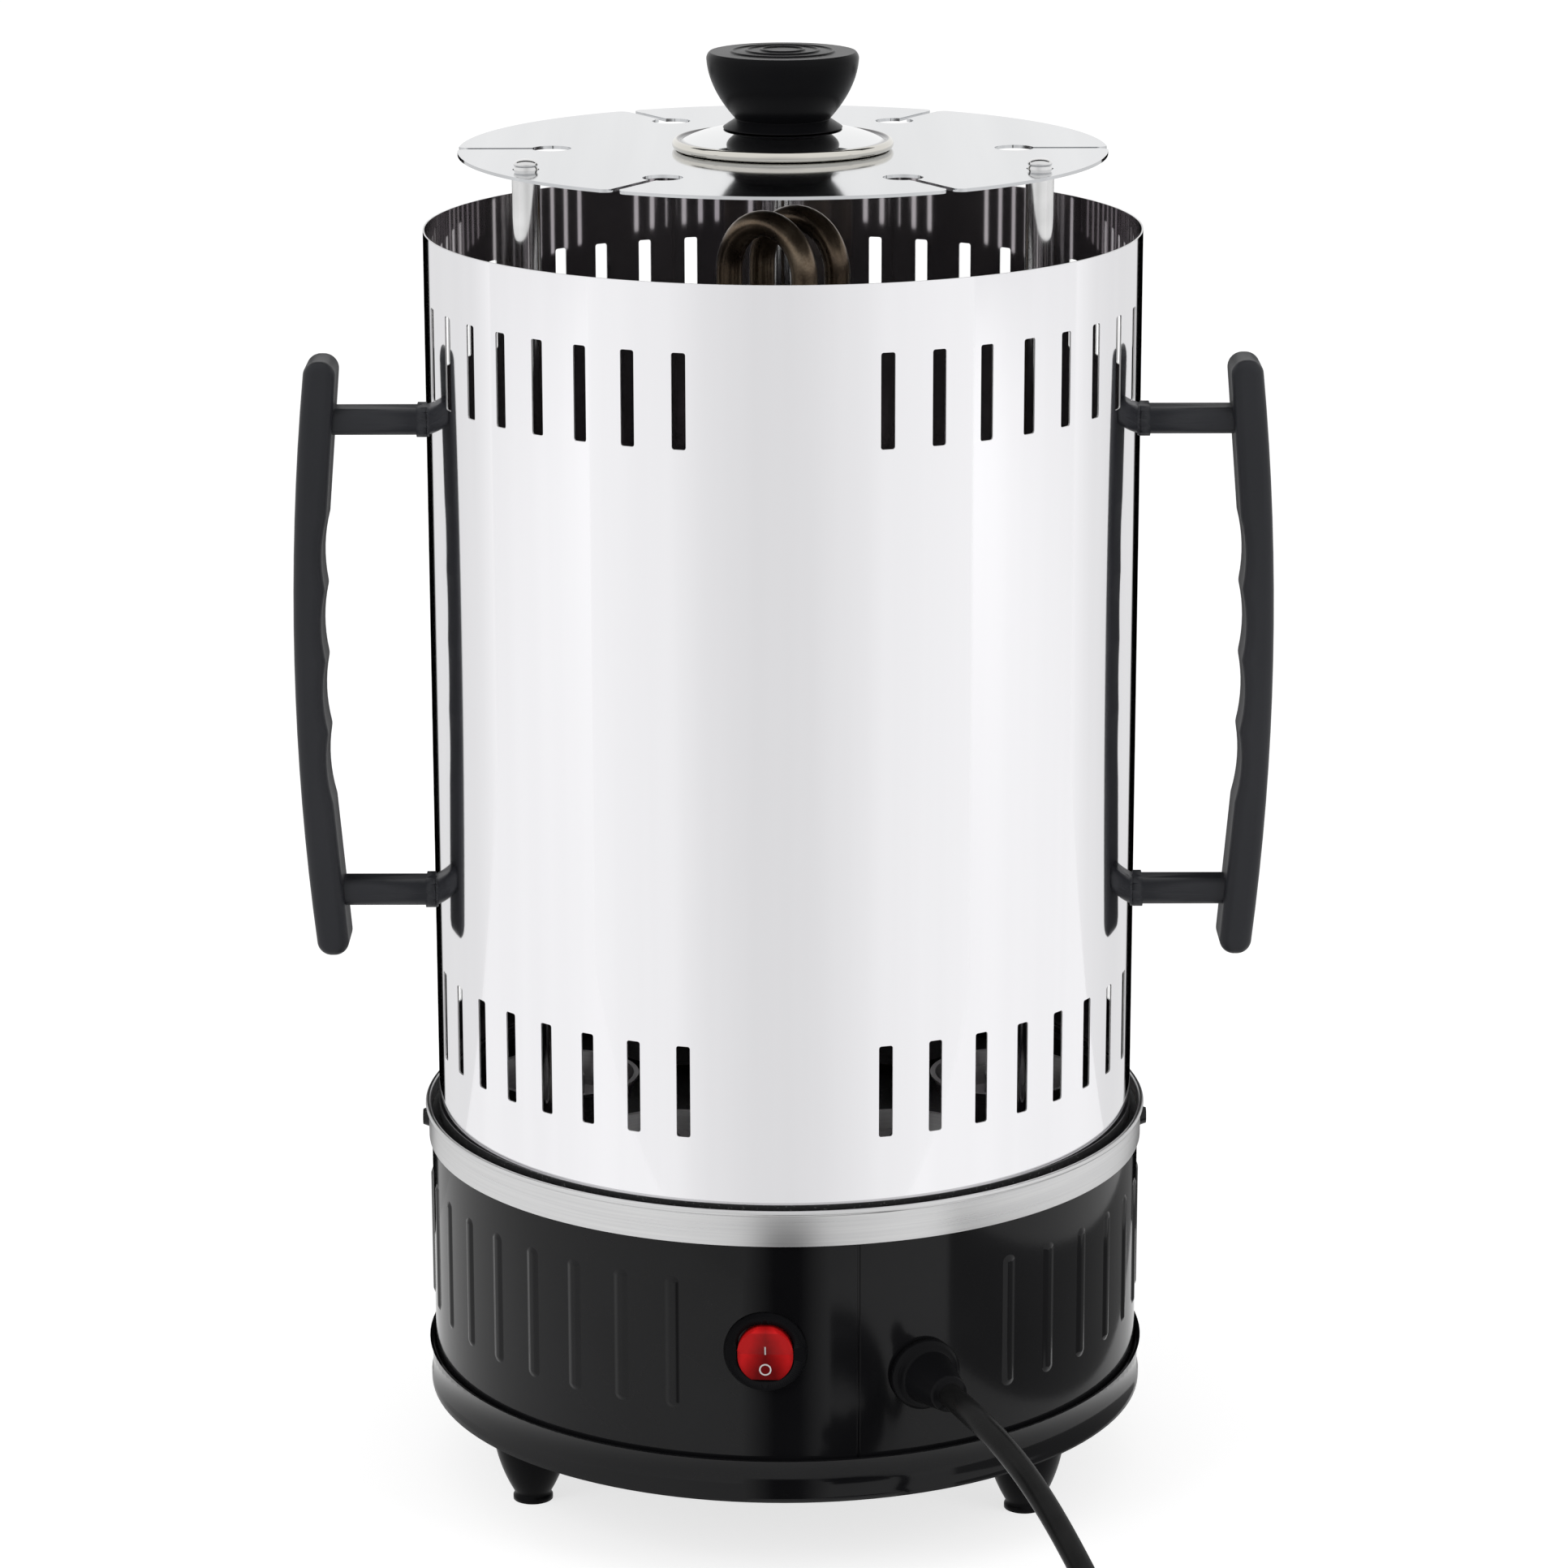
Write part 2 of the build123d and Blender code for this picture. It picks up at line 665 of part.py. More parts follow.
# Skewer drives: shaft with socket, gear and drip cup, six times round the axis
bush_top = floor_z + TRAY_BUSH_FLANGE_H
ledge_z = bush_top + 5 * AXIAL_PLAY
cup_z = ledge_z + LEDGE_H
socket_top = cup_z + SOCKET_H
spindle_gap = 180 / SPINDLE_TEETH
for number, (angle, centre) in enumerate(zip(skewer_angles, skewer_centres), start=1):
    towards_axis = math.degrees(math.atan2(-centre.Y, -centre.X))
    keep(gear(SPINDLE_TEETH, towards_axis + spindle_gap, centre, SHAFT_R + SNUG), f"spindle_gear_{number}")

    with BuildPart() as spindle:
        with BuildSketch(Plane((centre.X, centre.Y, 0), (1, 0, 0), (0, -1, 0))):
            with BuildLine():
                Polyline(
                    (0, plate_top - JOURNAL_L),
                    (JOURNAL_R, plate_top - JOURNAL_L),
                    (JOURNAL_R, plate_top + AXIAL_PLAY),
                    (SHAFT_R, plate_top + AXIAL_PLAY),
                    (SHAFT_R, gear_z - COLLAR_H),
                    (COLLAR_R, gear_z - COLLAR_H),
                    (COLLAR_R, gear_z),
                    (SHAFT_R, gear_z),
                    (SHAFT_R, ledge_z),
                    (LEDGE_R, ledge_z),
                    (LEDGE_R, cup_z),
                    (SOCKET_R, cup_z),
                    (SOCKET_R, socket_top),
                    (0, socket_top),
                    close=True,
                )
            make_face()
        revolve(axis=Axis((centre.X, centre.Y, 0), (0, 0, 1)))
        with Locations((centre.X, centre.Y, socket_top)):
            Hole(SOCKET_BORE_R, depth=SOCKET_BORE_L)
        with BuildSketch(Plane((centre.X, centre.Y, socket_top))):
            Rectangle(4 * SOCKET_R, SOCKET_SLOT_W, rotation=angle)
        extrude(amount=-SOCKET_BORE_L / 3, mode=Mode.SUBTRACT)
    keep(spindle, f"spindle_{number}")

    drip_cup = turned(
        [
            (SOCKET_R + SNUG, cup_z),
            (CUP_FLOOR_R, cup_z),
            (CUP_R - CUP_T, cup_z + CUP_H - CUP_T),
            (CUP_R, cup_z + CUP_H - CUP_T),
            (CUP_R, cup_z + CUP_H),
            (CUP_R - 2 * CUP_T, cup_z + CUP_H),
            (CUP_FLOOR_R - CUP_T / 2, cup_z + CUP_T),
            (SOCKET_R + SNUG, cup_z + CUP_T),
        ],
        [centre],
    )
    keep(drip_cup, f"drip_cup_{number}")

tray_bushes = turned(
    [
        (SHAFT_R + RUN, tray_z - TRAY_BUSH_BELOW),
        (TRAY_BUSH_R, tray_z - TRAY_BUSH_BELOW),
        (TRAY_BUSH_R, floor_z),
        (TRAY_BUSH_FLANGE_R, floor_z),
        (TRAY_BUSH_FLANGE_R, bush_top),
        (SHAFT_R + RUN, bush_top),
    ],
    skewer_centres,
)
keep(tray_bushes, "tray_bushes")

# Motor under the plate, with its pinion on the shaft
with BuildPart() as gear_motor:
    with BuildSketch(Plane((motor_centre.X, motor_centre.Y, plate_z))):
        Circle(MOTOR_R)
    extrude(amount=-MOTOR_CAP_H)
    with BuildSketch(Plane((motor_centre.X, motor_centre.Y, plate_z - MOTOR_CAP_H))):
        Circle(MOTOR_R - MOTOR_STEP)
    extrude(amount=MOTOR_CAP_H - MOTOR_H)
    with BuildSketch(Plane((motor_centre.X, motor_centre.Y, plate_z), x_dir=motor_side, z_dir=(0, 0, 1))):
        SlotCenterToCenter(2 * (MOTOR_R + MOTOR_EAR_OUT), 2 * MOTOR_EAR_R)
    extrude(amount=-MOTOR_EAR_T)
    with Locations(*[(c.X, c.Y, plate_z) for c in ear_centres]):
        Hole(SCREW_R + SNUG, depth=MOTOR_EAR_T)
    with Locations((motor_centre.X, motor_centre.Y, plate_z)):
        Hole(MOTOR_SHAFT_R + RUN, depth=MOTOR_SHAFT_IN)
keep(gear_motor, "gear_motor")

# Screws of the base: in the feet, up through the pan, in the motor's ears and in the ring
def screw(head_plane, length):
    """A pan-head screw whose head sits on a plane and whose shank runs back from it."""
    with BuildPart() as one:
        with BuildSketch(head_plane):
            Circle(SCREW_HEAD_R)
        extrude(amount=SCREW_HEAD_H, taper=20)
        with BuildSketch(head_plane):
            Circle(SCREW_R)
        extrude(amount=-length)
    return one.part


foot_screw_planes = [Plane((c.X, c.Y, drum_z)) for c in foot_centres]
pan_screw_planes = [Plane((c.X, c.Y, pan_z), (1, 0, 0), (0, 0, -1)) for c in pan_screw_centres]
motor_screw_planes = [Plane((c.X, c.Y, plate_top)) for c in ear_centres]
ring_head_planes = [facing(ring_r + SEAT, a, screw_height) for a in RING_SCREW_ANGLES]
with BuildPart() as base_screws:
    for plane in foot_screw_planes:
        add(screw(plane, FOOT_SCREW_L))
    for plane in pan_screw_planes + ring_head_planes:
        add(screw(plane, PAN_SCREW_L))
    for plane in motor_screw_planes:
        add(screw(plane, MOTOR_SCREW_L))
keep(base_screws, "base_screws")

# Motor shaft with the pinion cut on it
pinion_towards = math.degrees(math.atan2(-motor_centre.Y, -motor_centre.X))
pinion = gear(PINION_TEETH, pinion_towards, motor_centre, 0)
motor_shaft = turned(
    [
        (0, plate_z - MOTOR_SHAFT_IN + AXIAL_PLAY),
        (MOTOR_SHAFT_R, plate_z - MOTOR_SHAFT_IN + AXIAL_PLAY),
        (MOTOR_SHAFT_R, gear_z - COLLAR_H),
        (PINION_HUB_R, gear_z - COLLAR_H),
        (PINION_HUB_R, gear_z),
        (MOTOR_SHAFT_R, gear_z),
        (MOTOR_SHAFT_R, gear_top + RETAINER_T),
        (0, gear_top + RETAINER_T),
    ],
    [motor_centre],
)
with BuildPart() as motor_pinion:
    add(motor_shaft.part)
    add(pinion.part)
keep(motor_pinion, "motor_pinion")

# Terminal block on the pan floor
block_pitch = BLOCK_L / BLOCK_WAYS
with BuildPart() as terminal_block:
    with BuildSketch(Plane((BLOCK_X, BLOCK_Y, drum_z))):
        RectangleRounded(BLOCK_L, BLOCK_W, BLOCK_CORNER_R)
    extrude(amount=BLOCK_H)
    with Locations((BLOCK_X, BLOCK_Y, drum_z + BLOCK_H)):
        with GridLocations(block_pitch, BLOCK_W / 2, BLOCK_WAYS, 2):
            Hole(SCREW_R, depth=BLOCK_H / 2)
keep(terminal_block, "terminal_block")

# Casing: a rolled cylinder with two rows of vent slots
slot_step = math.degrees(SLOT_PITCH / CASING_R)
slot_span = slot_step * (SLOTS_PER_GROUP - 1)
slot_angles = [g - slot_span / 2 + slot_step * i for g in SLOT_GROUPS for i in range(SLOTS_PER_GROUP)]
slot_heights = [casing_z + SLOT_MARGIN + SLOT_H / 2, casing_top - SLOT_MARGIN - SLOT_H / 2]
slot_planes = [facing(CASING_R, a, z) for a in slot_angles for z in slot_heights]
arm_planes = [facing(CASING_R, a, z) for a in (-90, 90) for z in arm_heights]
with BuildPart() as casing:
    with BuildSketch(Plane.XY.offset(casing_z)):
        Circle(CASING_R)
        Circle(CASING_R - CASING_T, mode=Mode.SUBTRACT)
    extrude(amount=CASING_H)
    with BuildSketch(*slot_planes):
        RectangleRounded(SLOT_W, SLOT_H, SLOT_CORNER_R)
    with BuildSketch(*arm_planes):
        Circle(HANDLE_SCREW_R + SCREW_PLAY)
    extrude(amount=4 * CASING_T, both=True, mode=Mode.SUBTRACT)
keep(casing, "casing")

# Handles: a bowed grip with finger hollows on two arms
grip_out = CASING_R + GRIP_OUT
grip_mid_z = casing_z + GRIP_MID
grip_ends = [grip_mid_z - GRIP_H / 2, grip_mid_z + GRIP_H / 2]
finger_span = FINGERS * FINGER_PITCH / 2
bow_r = (GRIP_H**2 / 4 + GRIP_BOW**2) / (2 * GRIP_BOW)


def bow(height):
    """How far the bowed grip stands out at a height from its middle."""
    return grip_out + GRIP_BOW - bow_r + math.sqrt(bow_r**2 - height**2)


with BuildPart() as grip:
    with BuildSketch(Plane.XZ) as grip_outline:
        with BuildLine():
            ThreePointArc(
                (grip_out, grip_ends[0]), (grip_out + GRIP_BOW, grip_mid_z), (grip_out, grip_ends[1])
            )
            Line((grip_out, grip_ends[1]), (grip_out - GRIP_T, grip_ends[1]))
            crests = [finger_span - FINGER_PITCH * i for i in range(FINGERS + 1)]
            inner = [(bow(h) - GRIP_T, grip_mid_z + h) for h in crests]
            Line((grip_out - GRIP_T, grip_ends[1]), inner[0])
            for (x0, z0), (x1, z1) in zip(inner, inner[1:]):
                ThreePointArc((x0, z0), ((x0 + x1) / 2 + FINGER_DEPTH, (z0 + z1) / 2), (x1, z1))
            Line(inner[-1], (grip_out - GRIP_T, grip_ends[0]))
            Line((grip_out - GRIP_T, grip_ends[0]), (grip_out, grip_ends[0]))
        make_face()
        end_corners = grip_outline.vertices().group_by(Axis.Z)
        fillet(end_corners[0] + end_corners[-1], GRIP_END_R)
        finger_corners = grip_outline.vertices().filter_by_position(
            Axis.Z, grip_mid_z - finger_span - PICK_SLACK, grip_mid_z + finger_span + PICK_SLACK
        )
        fillet(finger_corners, FINGER_CREST_R)
    extrude(amount=GRIP_D / 2, both=True)
    sides = grip.faces().sort_by(Axis.Y)
    fillet(sides[0].edges() + sides[-1].edges(), GRIP_EDGE_R)

with BuildPart() as handle_right:
    for height in arm_heights:
        with BuildSketch(facing(CASING_R - 2 * SHEET, 90, height)):
            RectangleRounded(ARM_D, ARM_H, ARM_EDGE_R)
        extrude(amount=GRIP_OUT - GRIP_T / 2 + 2 * SHEET)
        with BuildSketch(facing(CASING_R - 2 * SHEET, 90, height)):
            RectangleRounded(PAD_D, PAD_H, ARM_EDGE_R)
        extrude(amount=PAD_T + 2 * SHEET)
    add(grip.part)
    with BuildSketch(Plane.XY.offset(casing_z)):
        Circle(CASING_R + SEAT)
    extrude(amount=CASING_H, mode=Mode.SUBTRACT)
    with BuildSketch(*[facing(CASING_R, 90, z) for z in arm_heights]):
        Circle(HANDLE_SCREW_R + SNUG)
    extrude(amount=HANDLE_SCREW_L + SEAT, mode=Mode.SUBTRACT)
keep(handle_right, "handle_right")

with BuildPart() as handle_left:
    mirror(handle_right.part, about=Plane.YZ)
keep(handle_left, "handle_left")

head_seat_r = math.sqrt((CASING_R - CASING_T) ** 2 - HANDLE_HEAD_R**2) - SEAT
with BuildPart() as handle_screws:
    for angle in (-90, 90):
        for height in arm_heights:
            with BuildSketch(facing(head_seat_r, angle, height)):
                Circle(HANDLE_HEAD_R)
            extrude(amount=-HANDLE_HEAD_H)
            with BuildSketch(facing(head_seat_r, angle, height)):
                Circle(HANDLE_SCREW_R)
            extrude(amount=CASING_R - head_seat_r + HANDLE_SCREW_L)
keep(handle_screws, "handle_screws")

# Skewer disc: a thin plate with keyholes open to its edge
with BuildPart() as skewer_disc:
    with BuildSketch(Plane.XY.offset(disc_z)) as disc_outline:
        Circle(disc_r)
        with Locations(*[(c.X, c.Y) for c in skewer_centres]):
            Circle(KEYHOLE_R, mode=Mode.SUBTRACT)
        for angle in skewer_angles:
            mouth = around((skewer_r + disc_r) / 2 + KEYHOLE_R, angle)
            with Locations((mouth.X, mouth.Y)):
                Rectangle(
                    disc_r - skewer_r + 2 * KEYHOLE_R, KEYHOLE_SLOT_W, rotation=angle - 90, mode=Mode.SUBTRACT
                )
        rim_corners = [v for v in disc_outline.vertices() if math.hypot(v.X, v.Y) > disc_r - PICK_SLACK]
        fillet(rim_corners, KEYHOLE_MOUTH_R)
        with Locations(*[(c.X, c.Y) for c in post_centres]):
            Circle(POST_TIP_R + PLAY, mode=Mode.SUBTRACT)
        Circle(KNOB_SCREW_R + SCREW_PLAY, mode=Mode.SUBTRACT)
    extrude(amount=DISC_T)
keep(skewer_disc, "skewer_disc")

# Saucer under the knob: a shallow dome with a rolled rim, standing on the disc
saucer_top = disc_top + SAUCER_H
with BuildPart() as knob_saucer:
    with BuildSketch(Plane.XZ):
        with BuildLine():
            Line((KNOB_SCREW_R + SCREW_PLAY, saucer_top), (SAUCER_TOP_R, saucer_top))
            TangentArc(
                (SAUCER_TOP_R, saucer_top),
                (SAUCER_R - SAUCER_ROLL_R, disc_top + 2 * SAUCER_ROLL_R),
                tangent=(1, 0),
            )
            Line(
                (SAUCER_R - SAUCER_ROLL_R, disc_top + 2 * SAUCER_ROLL_R),
                (SAUCER_R - SAUCER_ROLL_R, disc_top + 2 * SAUCER_ROLL_R - SAUCER_T),
            )
            TangentArc(
                (SAUCER_TOP_R, saucer_top - SAUCER_T),
                (SAUCER_R - SAUCER_ROLL_R, disc_top + 2 * SAUCER_ROLL_R - SAUCER_T),
                tangent=(1, 0),
            )
            Polyline(
                (SAUCER_TOP_R, saucer_top - SAUCER_T),
                (KNOB_FOOT_R / 2, saucer_top - SAUCER_T),
                (KNOB_FOOT_R / 2, disc_top),
                (KNOB_SCREW_R + SCREW_PLAY, disc_top),
                (KNOB_SCREW_R + SCREW_PLAY, saucer_top),
            )
        make_face()
        with Locations((SAUCER_R - SAUCER_ROLL_R, disc_top + SAUCER_ROLL_R)):
            Circle(SAUCER_ROLL_R)
    revolve(axis=Axis.Z)
keep(knob_saucer, "knob_saucer")

# Knob: a flared grip with a crowned top
knob_top = saucer_top + KNOB_H
with BuildPart() as knob:
    with BuildSketch(Plane.XZ):
        with BuildLine():
            Polyline(
                (0, saucer_top),
                (KNOB_FOOT_R, saucer_top),
                (KNOB_FOOT_R, saucer_top + KNOB_FOOT_H),
                (KNOB_NECK_R, saucer_top + KNOB_NECK_H),
            )
            TangentArc(
                (KNOB_R, knob_top - KNOB_EDGE_H),
                (KNOB_NECK_R, saucer_top + KNOB_NECK_H),
                tangent=(-KNOB_LEAN, -1),
            )
            ThreePointArc(
                (KNOB_R, knob_top - KNOB_EDGE_H),
                (KNOB_R - KNOB_EDGE_H * 0.35, knob_top - KNOB_EDGE_H * 0.45),
                (KNOB_R - KNOB_EDGE_H, knob_top - KNOB_CROWN),
            )
            TangentArc((0, knob_top), (KNOB_R - KNOB_EDGE_H, knob_top - KNOB_CROWN), tangent=(1, 0))
            Line((0, knob_top), (0, saucer_top))
        make_face()
    revolve(axis=Axis.Z)
    with BuildSketch(Plane.XY.offset(saucer_top)):
        Circle(KNOB_SCREW_R + SNUG)
    extrude(amount=KNOB_SCREW_L - SAUCER_H, mode=Mode.SUBTRACT)
keep(knob, "knob")

knob_screw = turned(
    [
        (0, disc_z - KNOB_HEAD_H),
        (KNOB_HEAD_R, disc_z - KNOB_HEAD_H),
        (KNOB_HEAD_R, disc_z),
        (KNOB_SCREW_R, disc_z),
        (KNOB_SCREW_R, disc_top + KNOB_SCREW_L - AXIAL_PLAY),
        (0, disc_top + KNOB_SCREW_L - AXIAL_PLAY),
    ],
    axis_centre,
)
keep(knob_screw, "knob_screw")

# Rocker switch: housing with bezel and barrel, rocker on its pins, blades behind
switch_face = facing(drum_r, SWITCH_ANGLE, SWITCH_Z)
pivot_r = drum_r - ROCKER_PIVOT_IN
pivot_face = facing(pivot_r, SWITCH_ANGLE, SWITCH_Z)
pivot_side = edgeways(pivot_r, SWITCH_ANGLE, SWITCH_Z)
rocker_w = WINDOW_W - 2 * ROCKER_PLAY
rocker_r = WINDOW_H / 2 - ROCKER_PLAY
with BuildPart() as switch_housing:
    with BuildSketch(switch_face):
        Circle(BEZEL_R)
    extrude(amount=BEZEL_H, taper=BEZEL_TAPER)
    with BuildSketch(switch_face):
        Circle(BARREL_R)
    extrude(amount=-BARREL_L)
    with BuildSketch(switch_face.offset(BEZEL_H)):
        RectangleRounded(WINDOW_W, WINDOW_H, WINDOW_CORNER_R)
    extrude(amount=-BEZEL_H - POCKET_L, mode=Mode.SUBTRACT)
    with BuildSketch(pivot_side):
        Circle(ROCKER_PIN_R + RUN)
    extrude(amount=rocker_w / 2 + ROCKER_PIN_L + ROCKER_PLAY, both=True, mode=Mode.SUBTRACT)
keep(switch_housing, "switch_housing")

# The two faces of the rocker meet in a shallow V; its ends follow a circle about the hinge
face_slope = math.tan(math.radians(ROCKER_TILT / 2))
face_mid = ROCKER_FACE_OUT + ROCKER_PIVOT_IN
slope_sq = 1 + face_slope**2
corner_up = (math.sqrt(slope_sq * rocker_r**2 - face_mid**2) - face_mid * face_slope) / slope_sq
corner_out = face_mid + corner_up * face_slope
back_up = math.sqrt(rocker_r**2 - ROCKER_BACK**2)
rocker_side = edgeways(pivot_r, SWITCH_ANGLE, SWITCH_Z, ROCKER_TILT / 2)
rocker_front = Plane(rocker_side.origin, pivot_face.x_dir, rocker_side.y_dir)
with BuildPart() as switch_rocker:
    with BuildSketch(rocker_side):
        with BuildLine():
            Polyline((-corner_up, corner_out), (0, face_mid), (corner_up, corner_out))
            ThreePointArc((corner_up, corner_out), (rocker_r, 0), (back_up, -ROCKER_BACK))
            Line((back_up, -ROCKER_BACK), (-back_up, -ROCKER_BACK))
            ThreePointArc((-back_up, -ROCKER_BACK), (-rocker_r, 0), (-corner_up, corner_out))
        make_face()
    extrude(amount=rocker_w / 2, both=True)
    with BuildSketch(rocker_front):
        RectangleRounded(rocker_w, 2 * rocker_r, ROCKER_CORNER_R)
    extrude(amount=2 * rocker_r, both=True, mode=Mode.INTERSECT)
    with BuildSketch(rocker_side):
        Circle(ROCKER_PIN_R)
    extrude(amount=rocker_w / 2 + ROCKER_PIN_L, both=True)
keep(switch_rocker, "switch_rocker")

with BuildPart() as switch_terminals:
    with BuildSketch(switch_face.offset(-BARREL_L)):
        with GridLocations(0, TERMINAL_SPACING, 1, 2):
            Rectangle(TERMINAL_W, TERMINAL_T)
    extrude(amount=-TERMINAL_L)
keep(switch_terminals, "switch_terminals")

# Cord gland: flange and tapered nose outside, neck through the drum, collar inside
gland_side = edgeways(drum_r, GLAND_ANGLE, GLAND_Z)
gland_axis = Axis(gland_side.origin, gland_side.y_dir)
collar_out = math.sqrt(drum_in**2 - GLAND_COLLAR_R**2) - drum_r - SEAT
gland_tip = GLAND_FLANGE_T + GLAND_NOSE_L
with BuildPart() as cord_gland:
    with BuildSketch(gland_side):
        with BuildLine():
            Polyline(
                (0, collar_out - GLAND_COLLAR_T),
                (GLAND_COLLAR_R, collar_out - GLAND_COLLAR_T),
                (GLAND_COLLAR_R, collar_out),
                (GLAND_NECK_R, collar_out),
                (GLAND_NECK_R, 0),
                (GLAND_FLANGE_R, 0),
                (GLAND_FLANGE_R, GLAND_FLANGE_T * 0.6),
                (GLAND_FLANGE_R - GLAND_FLANGE_T * 0.4, GLAND_FLANGE_T),
                (GLAND_NOSE_R, GLAND_FLANGE_T),
                (GLAND_TIP_R, gland_tip),
                (0, gland_tip),
                close=True,
            )
        make_face()
    revolve(axis=gland_axis)
keep(cord_gland, "cord_gland")

# Free stretch of the cord: out of the gland, down to the floor and on to the coil
cord_d = 2 * CORD_R
coil_z = TIE_T + TIE_GAP + CORD_R
coil_step = cord_d + TURN_GAP
cord_exit = around(drum_r + gland_tip, GLAND_ANGLE, GLAND_Z)
coil_start = Vector(COIL_X + COIL_R, COIL_Y, coil_z)
CORD_POINTS = [
    cord_exit,
    cord_exit + around(CORD_STRAIGHT, GLAND_ANGLE),
    (65.5, -149.5, 60.5),
    (76.0, -161.5, 49.0),
    (87.0, -174.0, 32.0),
    (97.0, -190.0, 15.0),
    (103.5, -210.0, coil_z),
    coil_start + Vector(0, cord_d, 0),
    coil_start,
]
route = [Vector(*p) for p in CORD_POINTS]
runs = [b - a for a, b in zip(route, route[1:])]
route_radii = []
for before, after in zip(runs, runs[1:]):
    half_turn = math.radians(before.get_angle(after)) / 2
    route_radii.append(0.45 * min(before.length, after.length) / math.tan(half_turn))
print("cord bend radii", [round(r, 1) for r in route_radii])
with BuildPart() as power_cord:
    with BuildLine() as cord_path:
        FilletPolyline(*route, radius=route_radii)
    with BuildSketch(Plane(cord_path.line @ 0, z_dir=cord_path.line % 0)):
        Circle(CORD_R)
    sweep()
keep(power_cord, "power_cord")
cord_length = sum(edge.length for edge in cord_path.edges())
print("cord volume ratio", round(power_cord.part.volume / (math.pi * CORD_R**2 * cord_length), 4))

# Coil of the put-away length: in on the lower layer, over, and out again on the upper one
turns_flat = COIL_TURNS_IN
turns_over = COIL_TURNS_IN + 0.5
turns_all = turns_over + COIL_TURNS_OUT
coil_inner_r = COIL_R - coil_step * COIL_TURNS_IN


def ease(t):
    """Rises smoothly from 0 to 1."""
    t = min(max(t, 0.0), 1.0)
    return t * t * (3 - 2 * t)


def coil_point(turn):
    """A point on the coil's middle line, counted in turns from its start."""
    if turn < turns_flat:
        radius = COIL_R - coil_step * turn
    elif turn < turns_over:
        radius = coil_inner_r - coil_step * (turn - turns_flat) * (1 - 2 * (turn - turns_flat))
    else:
        radius = coil_inner_r + coil_step * (turn - turns_over)
    height = coil_z + coil_step * ease((turn - turns_flat) / 0.5)
    height += (PLUG_AXIS_Z - coil_z - coil_step) * ease((turn - turns_all + 0.5) / 0.5)
    a = -2 * math.pi * turn
    return Vector(COIL_X + radius * math.cos(a), COIL_Y + radius * math.sin(a), height)


def coil_heading(turn):
    """The unit tangent of the coil at a turn, level and square to the radius at its two ends."""
    a = -2 * math.pi * turn
    if turn in (0.0, turns_all):
        return Vector(math.sin(a), -math.cos(a), 0)
    small = 1e-4
    return (coil_point(turn + small) - coil_point(turn - small)).normalized()


coil_nodes = [turns_all * i / round(4 * turns_all) for i in range(round(4 * turns_all) + 1)]
with BuildPart() as cord_coil:
    with BuildLine() as coil_path:
        for turn_a, turn_b in zip(coil_nodes, coil_nodes[1:]):
            start, end = coil_point(turn_a), coil_point(turn_b)
            head_a, head_b = coil_heading(turn_a), coil_heading(turn_b)
            span = end - start
            both = head_a + head_b
            openness = 2 * (1 - head_a.dot(head_b))
            along = span.dot(both)
            reach = (-along + math.sqrt(along**2 + openness * span.dot(span))) / openness
            join = (start + end + (head_a - head_b) * reach) * 0.5
            first = TangentArc(start, join, tangent=head_a)
            TangentArc(join, end, tangent=first % 1)
        tail = Line(end, end + head_b * cord_d)
    with BuildSketch(Plane(coil_path.line @ 0, z_dir=coil_path.line % 0)):
        Circle(CORD_R)
    sweep()
keep(cord_coil, "cord_coil")
coil_length = sum(edge.length for edge in coil_path.edges())
print("coil volume ratio", round(cord_coil.part.volume / (math.pi * CORD_R**2 * coil_length), 4))
print("cord length with coil", round(cord_length + coil_length, 1))

# Least gap of the coil to itself, between points more than half a turn apart
samples = [edge @ (i / 16) for edge in coil_path.edges()[:-1] for i in range(16)]
half_turn_samples = round(len(samples) / turns_all / 2)
least = min((a - b).length for i, a in enumerate(samples) for b in samples[i + half_turn_samples :])
print("least gap of the coil to itself", round(least - cord_d, 3))

# Tie round the four runs of the coil that lie nearest to the grill
tie_turn_r = COIL_R - coil_step * 0.75
tie_mid_r = tie_turn_r - coil_step / 2
tie_size = cord_d + coil_step + 2 * TIE_GAP
tie_centre = Vector(COIL_X, COIL_Y + tie_mid_r, coil_z + coil_step / 2)
with BuildPart() as cord_tie:
    with BuildSketch(Plane(tie_centre, x_dir=(0, 1, 0), z_dir=(1, 0, 0))):
        RectangleRounded(tie_size + 2 * TIE_T, tie_size + 2 * TIE_T, CORD_R + TIE_T)
        RectangleRounded(tie_size, tie_size, CORD_R, mode=Mode.SUBTRACT)
    extrude(amount=TIE_W / 2, both=True)
keep(cord_tie, "cord_tie")

